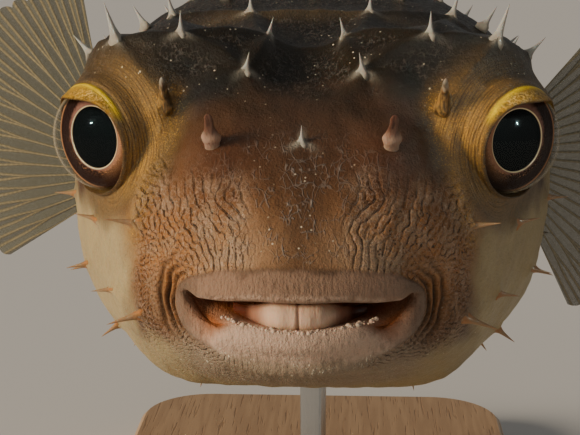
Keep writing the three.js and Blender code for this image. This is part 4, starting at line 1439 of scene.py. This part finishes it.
def fin_frame(fin):
    """The numbers of one fin, with its plane and sweep as vectors."""
    if "side" in fin:
        x, s, h = PECTORAL["root"]
        return {
            **PECTORAL,
            "root": np.array([fin["side"] * x, s, h]),
            "slope": unit(np.array(PECTORAL["slope"], float)),
            "angles": [angle + fin["turn"] for angle in PECTORAL["angles"]],
            "plane": (np.array([float(fin["side"]), 0, 0]), UP),
            "sweep": BACK * 0.34,
            "cup": 0.5,
        }
    return {
        **fin,
        "root": np.array([0.0, *fin["root"]]),
        "slope": unit(np.array([0.0, *fin["slope"]])),
        "plane": (BACK, UP),
        "sweep": np.array([0.02, 0, 0]),
        "cup": 0.3,
    }


def fan_point(fin, a, b):
    """Middle surface of a fin, with a across the rays and b from the root to the margin."""
    angle = np.radians(fin["angles"][0] + (fin["angles"][1] - fin["angles"][0]) * a)
    first, middle, last = fin["reach"]
    edge = first + (last - first) * a + (middle - (first + last) / 2) * 4 * a * (1 - a)
    ray = np.cos(angle)[..., None] * fin["plane"][0] + np.sin(angle)[..., None] * fin["plane"][1]
    reach = b * edge
    bend = reach + fin["cup"] * (reach / 10) ** 2
    start = fin["root"] + ((a - 0.5) * fin["length"])[..., None] * fin["slope"]
    return start + ray * reach[..., None] + fin["sweep"] * bend[..., None]


def fin_rings(fin, rays):
    """Rings of a thin web over tapering rays that fork towards the margin, which dips between them."""
    shape = fin_frame(fin)
    across, out = rays * 12 + 1, 72
    a, b = np.meshgrid(np.linspace(0, 1, across), np.linspace(-0.12, 1, out))
    phase = a * rays
    off_ray = np.abs(phase - np.floor(phase) - 0.5) * 2
    fork = smooth(b, 0.45, 0.75) * 0.46
    on_ray = bump(np.abs((1 - off_ray) - fork), 0.2 - 0.06 * b)
    margin = 0.985 - 0.035 * off_ray**2 - 0.012 * (0.5 + 0.5 * np.sin(a * 41.0))
    rows = np.clip(b, -0.2, 1) * margin
    middle = fan_point(shape, a, rows)
    along_a = np.gradient(middle, axis=1)
    along_b = np.gradient(middle, axis=0)
    normal = unit(np.cross(along_a, along_b))
    flesh = 1 - smooth(b, 0.0, 0.22)
    wave = 0.28 * np.sin(phase * math.pi * 2) * smooth(b, 0.1, 0.6) * (1 - flesh)
    middle = middle + normal * wave[..., None] * 0.6
    half = 0.06 + on_ray * (0.24 - 0.18 * b.clip(0, 1)) + flesh * 0.5
    half = np.minimum(half, 0.78 - 0.5 * b.clip(0, 1))
    segments = 0.5 + 0.5 * np.sin(b * 190)
    front, rear = middle + normal * half[..., None], middle - normal * half[..., None]
    points = np.concatenate([front, rear[:, ::-1]], axis=1)
    marks = {"ray": on_ray, "flesh": flesh, "reach": b.clip(0, 1), "segment": segments}
    return points, {label: np.concatenate([mark, mark[:, ::-1]], axis=1) for label, mark in marks.items()}


def strip_ends(rows, columns):
    """Quads that close the first and last ring straight across."""
    i = np.arange(columns // 2 - 1)
    first = np.stack([i, i + 1, columns - 2 - i, columns - 1 - i], -1)
    last = (rows - 1) * columns + first[:, ::-1]
    return np.concatenate([first, last])


def fin_material(colours):
    """Thin greenish skin that lets light through, over pale jointed rays."""
    nodes = Nodes("puffer_fin")
    place = nodes.place()
    broad = nodes.noise(place, 3.5, detail=3.0)
    fine = nodes.noise(place, 0.5, detail=3.0)
    ray, flesh = nodes.mark("ray"), nodes.mark("flesh")
    joints = 0.55 + 0.5 * nodes.mark("segment")
    colour = nodes.coats(
        colours.fin,
        (colours.ray, ray * joints * (0.7 + 0.5 * broad)),
        (colours.fin_root, flesh * 0.8),
    )
    alpha = (0.55 + 0.45 * ray + 0.9 * flesh + 0.2 * fine - 0.12 * nodes.mark("reach")).limited()
    return nodes.surface(
        {"Base Color": nodes.darkened(colour, 0.7 + 0.45 * fine), "Normal": nodes.bumps(fine, 0.06)},
        {"Alpha": alpha, "Roughness": 0.4},
    )


class PUFFER_OT_fins(bpy.types.Operator):
    """Model the pectoral, dorsal, anal and tail fins with their rays"""

    bl_idname = "puffer.fins"
    bl_label = "Fins"

    def execute(self, context):
        material = fin_material(context.scene.puffer_pieces)
        for node, fin in FINS.items():
            points, marks = fin_rings(fin, fin["rays"])
            rows, columns = points.shape[:2]
            flat = points.reshape(-1, 3)
            faces = facing_out(flat, [grid_faces(rows, columns), strip_ends(rows, columns)])
            spread = {label: mark.ravel() for label, mark in marks.items()}
            blade = mesh_object(node.replace("_fin", "_blade"), to_world(flat), faces, material, spread)
            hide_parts(node)
            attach(blade, "root")
        return {"FINISHED"}


# ---- Stand ----
def wood_material(colours):
    """Oiled oak, with growth bands along the board and pores."""
    nodes = Nodes("stand_oak")
    place = nodes.place()
    along = nodes.vector("MULTIPLY", place, (1.0, 0.06, 1.0))
    bands = nodes.noise(nodes.warped(along, 9.0, 3.0), 4.0, detail=4.0)
    rings = (bands * 30.0).wave() * 0.5 + 0.5
    pores = nodes.noise(place, 0.45, squeeze=(1.0, 0.04, 1.0)).smooth(0.58, 0.68)
    colour = nodes.coats(colours.wood, (colours.wood_band, rings * 0.45), (colours.wood_pore, pores * 0.5))
    rough = 0.42 + 0.15 * pores
    return nodes.surface(
        {"Base Color": colour, "Roughness": rough, "Normal": nodes.bumps(1 - pores, 0.05)},
        {"Coat Weight": 0.15},
    )


def steel_material(colours):
    """Rods brushed round their length."""
    nodes = Nodes("stand_steel")
    rings = nodes.noise(nodes.place(), 1.0, detail=3.0, squeeze=(0.3, 0.3, 9.0))
    return nodes.surface(
        {"Roughness": 0.24 + 0.16 * rings, "Normal": nodes.bumps(rings, 0.01)},
        {"Base Color": (*colours.steel, 1.0), "Metallic": 1.0},
    )


class PUFFER_OT_stand(bpy.types.Operator):
    """Finish the oak base and the two steel rods"""

    bl_idname = "puffer.stand"
    bl_label = "Stand"

    def execute(self, context):
        colours = context.scene.puffer_pieces
        oak, steel = wood_material(colours), steel_material(colours)
        for node, finish in (("stand_base", oak), ("stand_rod_front", steel), ("stand_rod_rear", steel)):
            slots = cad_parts[node].material_slots
            for slot in slots:
                slot.material = finish
        return {"FINISHED"}


# ---- Stage ----
# Lights as azimuth, elevation and distance from what they light, in degrees and metres. The key and the
# fill only light up. The two sparks only shine: each makes the bright spot in one eye. CAMERA_SHIFT is how
# far the camera looks past the mouth, to the right and upwards, in millimetres.
KEY = {"place": (-67, 15, 1.0), "angle": 20, "colour": (1.0, 0.85, 0.66)}
FILL = {"place": (-24, 36, 0.8), "size": 0.25, "colour": (1.0, 0.90, 0.78)}
SPARK = {"size": 0.03, "spread": 12, "colour": (0.75, 1.0, 0.93)}
SPARK_PLACES = {"spark_right": (-1, (-31, 28, 0.25)), "spark_left": (1, (28, 34, 0.25))}
WORLD = {"Color": (0.90, 0.90, 0.88, 1), "Strength": 0.21}
FLOOR_HALF = 6
FLOOR_DROP = 0.0005
CAMERA_SHIFT = (-1.05, 13.5)


def aim(made, place, target):
    """Put an object at a place and point its -Z axis at a target."""
    made.location = place
    made.rotation_mode = "QUATERNION"
    made.rotation_quaternion = (Vector(target) - Vector(place)).to_track_quat("-Z", "Y")


def direction(azimuth, elevation):
    """From the fish to a place seen at an azimuth round to its left and an elevation, both in degrees."""
    a, e = math.radians(azimuth), math.radians(elevation)
    return np.array([math.sin(a) * math.cos(e), -math.cos(a) * math.cos(e), math.sin(e)])


def place_lamp(data, place, target, shine=False):
    """Put up a light that isn't seen itself. It either gives highlights, or only lights up."""
    azimuth, elevation, distance = place
    made = bpy.data.objects.new(data.name, data)
    bpy.context.scene.collection.objects.link(made)
    aim(made, target + direction(azimuth, elevation) * distance, target)
    made.visible_camera = False
    made.visible_glossy = shine
    made.visible_diffuse = not shine


def disk_light(name, power, size, colour):
    """A round lamp of a size in metres."""
    data = bpy.data.lights.new(name, "AREA")
    data.shape = "DISK"
    data.size = size
    data.energy = power
    data.color = colour
    return data


class PUFFER_OT_stage(bpy.types.Operator):
    """Set the pale floor, the soft lights and the camera"""

    bl_idname = "puffer.stage"
    bl_label = "Stage"

    def execute(self, context):
        stage = context.scene.puffer_stage
        mouth = to_world((0, 0, 0))
        middle = to_world((0, 30, 8))

        nodes = Nodes("floor")
        nodes.surface({}, {"Base Color": (*stage.floor, 1.0), "Roughness": 0.9})
        square = np.array([[-1, -1], [1, -1], [1, 1], [-1, 1]]) * FLOOR_HALF
        corners = np.column_stack([square, np.full(4, -FLOOR_DROP)])
        floor = mesh_object("floor", corners, [np.array([[0, 1, 2, 3]])], nodes.material)

        world = bpy.data.worlds.new("studio")
        world.use_nodes = True
        for name, value in WORLD.items():
            world.node_tree.nodes["Background"].inputs[name].default_value = value
        context.scene.world = world

        sun = bpy.data.lights.new("key", "SUN")
        sun.energy = stage.key
        sun.angle = math.radians(KEY["angle"])
        sun.color = KEY["colour"]
        place_lamp(sun, KEY["place"], middle)
        place_lamp(disk_light("fill", stage.fill, FILL["size"], FILL["colour"]), FILL["place"], middle)
        for name, (side, place) in SPARK_PLACES.items():
            spark = disk_light(name, stage.spark, SPARK["size"], SPARK["colour"])
            spark.spread = math.radians(SPARK["spread"])
            place_lamp(spark, place, to_world((side * EYE_X, EYE_S, EYE_H)), shine=True)

        camera = bpy.data.cameras.new("camera")
        camera.lens = stage.lens
        camera.sensor_width = 36
        camera.clip_start = 0.01
        made = bpy.data.objects.new("camera", camera)
        context.scene.collection.objects.link(made)
        back = direction(math.degrees(stage.azimuth), math.degrees(stage.elevation))
        right = np.array([math.cos(stage.azimuth), math.sin(stage.azimuth), 0])
        up = np.cross(back, right)
        turn = Matrix(np.stack([right, up, back], -1).tolist())
        shift = (CAMERA_SHIFT[0] * right + CAMERA_SHIFT[1] * up) * MM
        made.location = mouth + shift + back * stage.distance
        made.rotation_mode = "QUATERNION"
        made.rotation_quaternion = turn.to_quaternion()
        context.scene.camera = made
        return {"FINISHED"}


# ---- Sidebar ----
OPERATORS = (
    PUFFER_OT_skin,
    PUFFER_OT_spines,
    PUFFER_OT_nose,
    PUFFER_OT_eyes,
    PUFFER_OT_mouth,
    PUFFER_OT_fins,
    PUFFER_OT_stand,
    PUFFER_OT_stage,
)
GROUPS = {"puffer_skin": PUFFER_PG_skin, "puffer_pieces": PUFFER_PG_pieces, "puffer_stage": PUFFER_PG_stage}


class PUFFER_PT_sidebar(bpy.types.Panel):
    """Buttons and settings of the pufferfish"""

    bl_label = "Pufferfish"
    bl_space_type = "VIEW_3D"
    bl_region_type = "UI"
    bl_category = "Pufferfish"

    def draw(self, context):
        for operator in OPERATORS:
            self.layout.operator(operator.bl_idname)
        for name, group in GROUPS.items():
            box = self.layout.box()
            for label in group.__annotations__:
                box.prop(getattr(context.scene, name), label)


def register():
    for kind in (*GROUPS.values(), *OPERATORS, PUFFER_PT_sidebar):
        bpy.utils.register_class(kind)
    for name, group in GROUPS.items():
        setattr(bpy.types.Scene, name, bpy.props.PointerProperty(type=group))


def unregister():
    for name in GROUPS:
        delattr(bpy.types.Scene, name)
    for kind in reversed((*GROUPS.values(), *OPERATORS, PUFFER_PT_sidebar)):
        bpy.utils.unregister_class(kind)


def main():
    """Build every piece in order."""
    register()
    bpy.ops.puffer.skin()
    bpy.ops.puffer.spines()
    bpy.ops.puffer.nose()
    bpy.ops.puffer.eyes()
    bpy.ops.puffer.mouth()
    bpy.ops.puffer.fins()
    bpy.ops.puffer.stand()
    bpy.ops.puffer.stage()


if __name__ == "__main__":
    main()
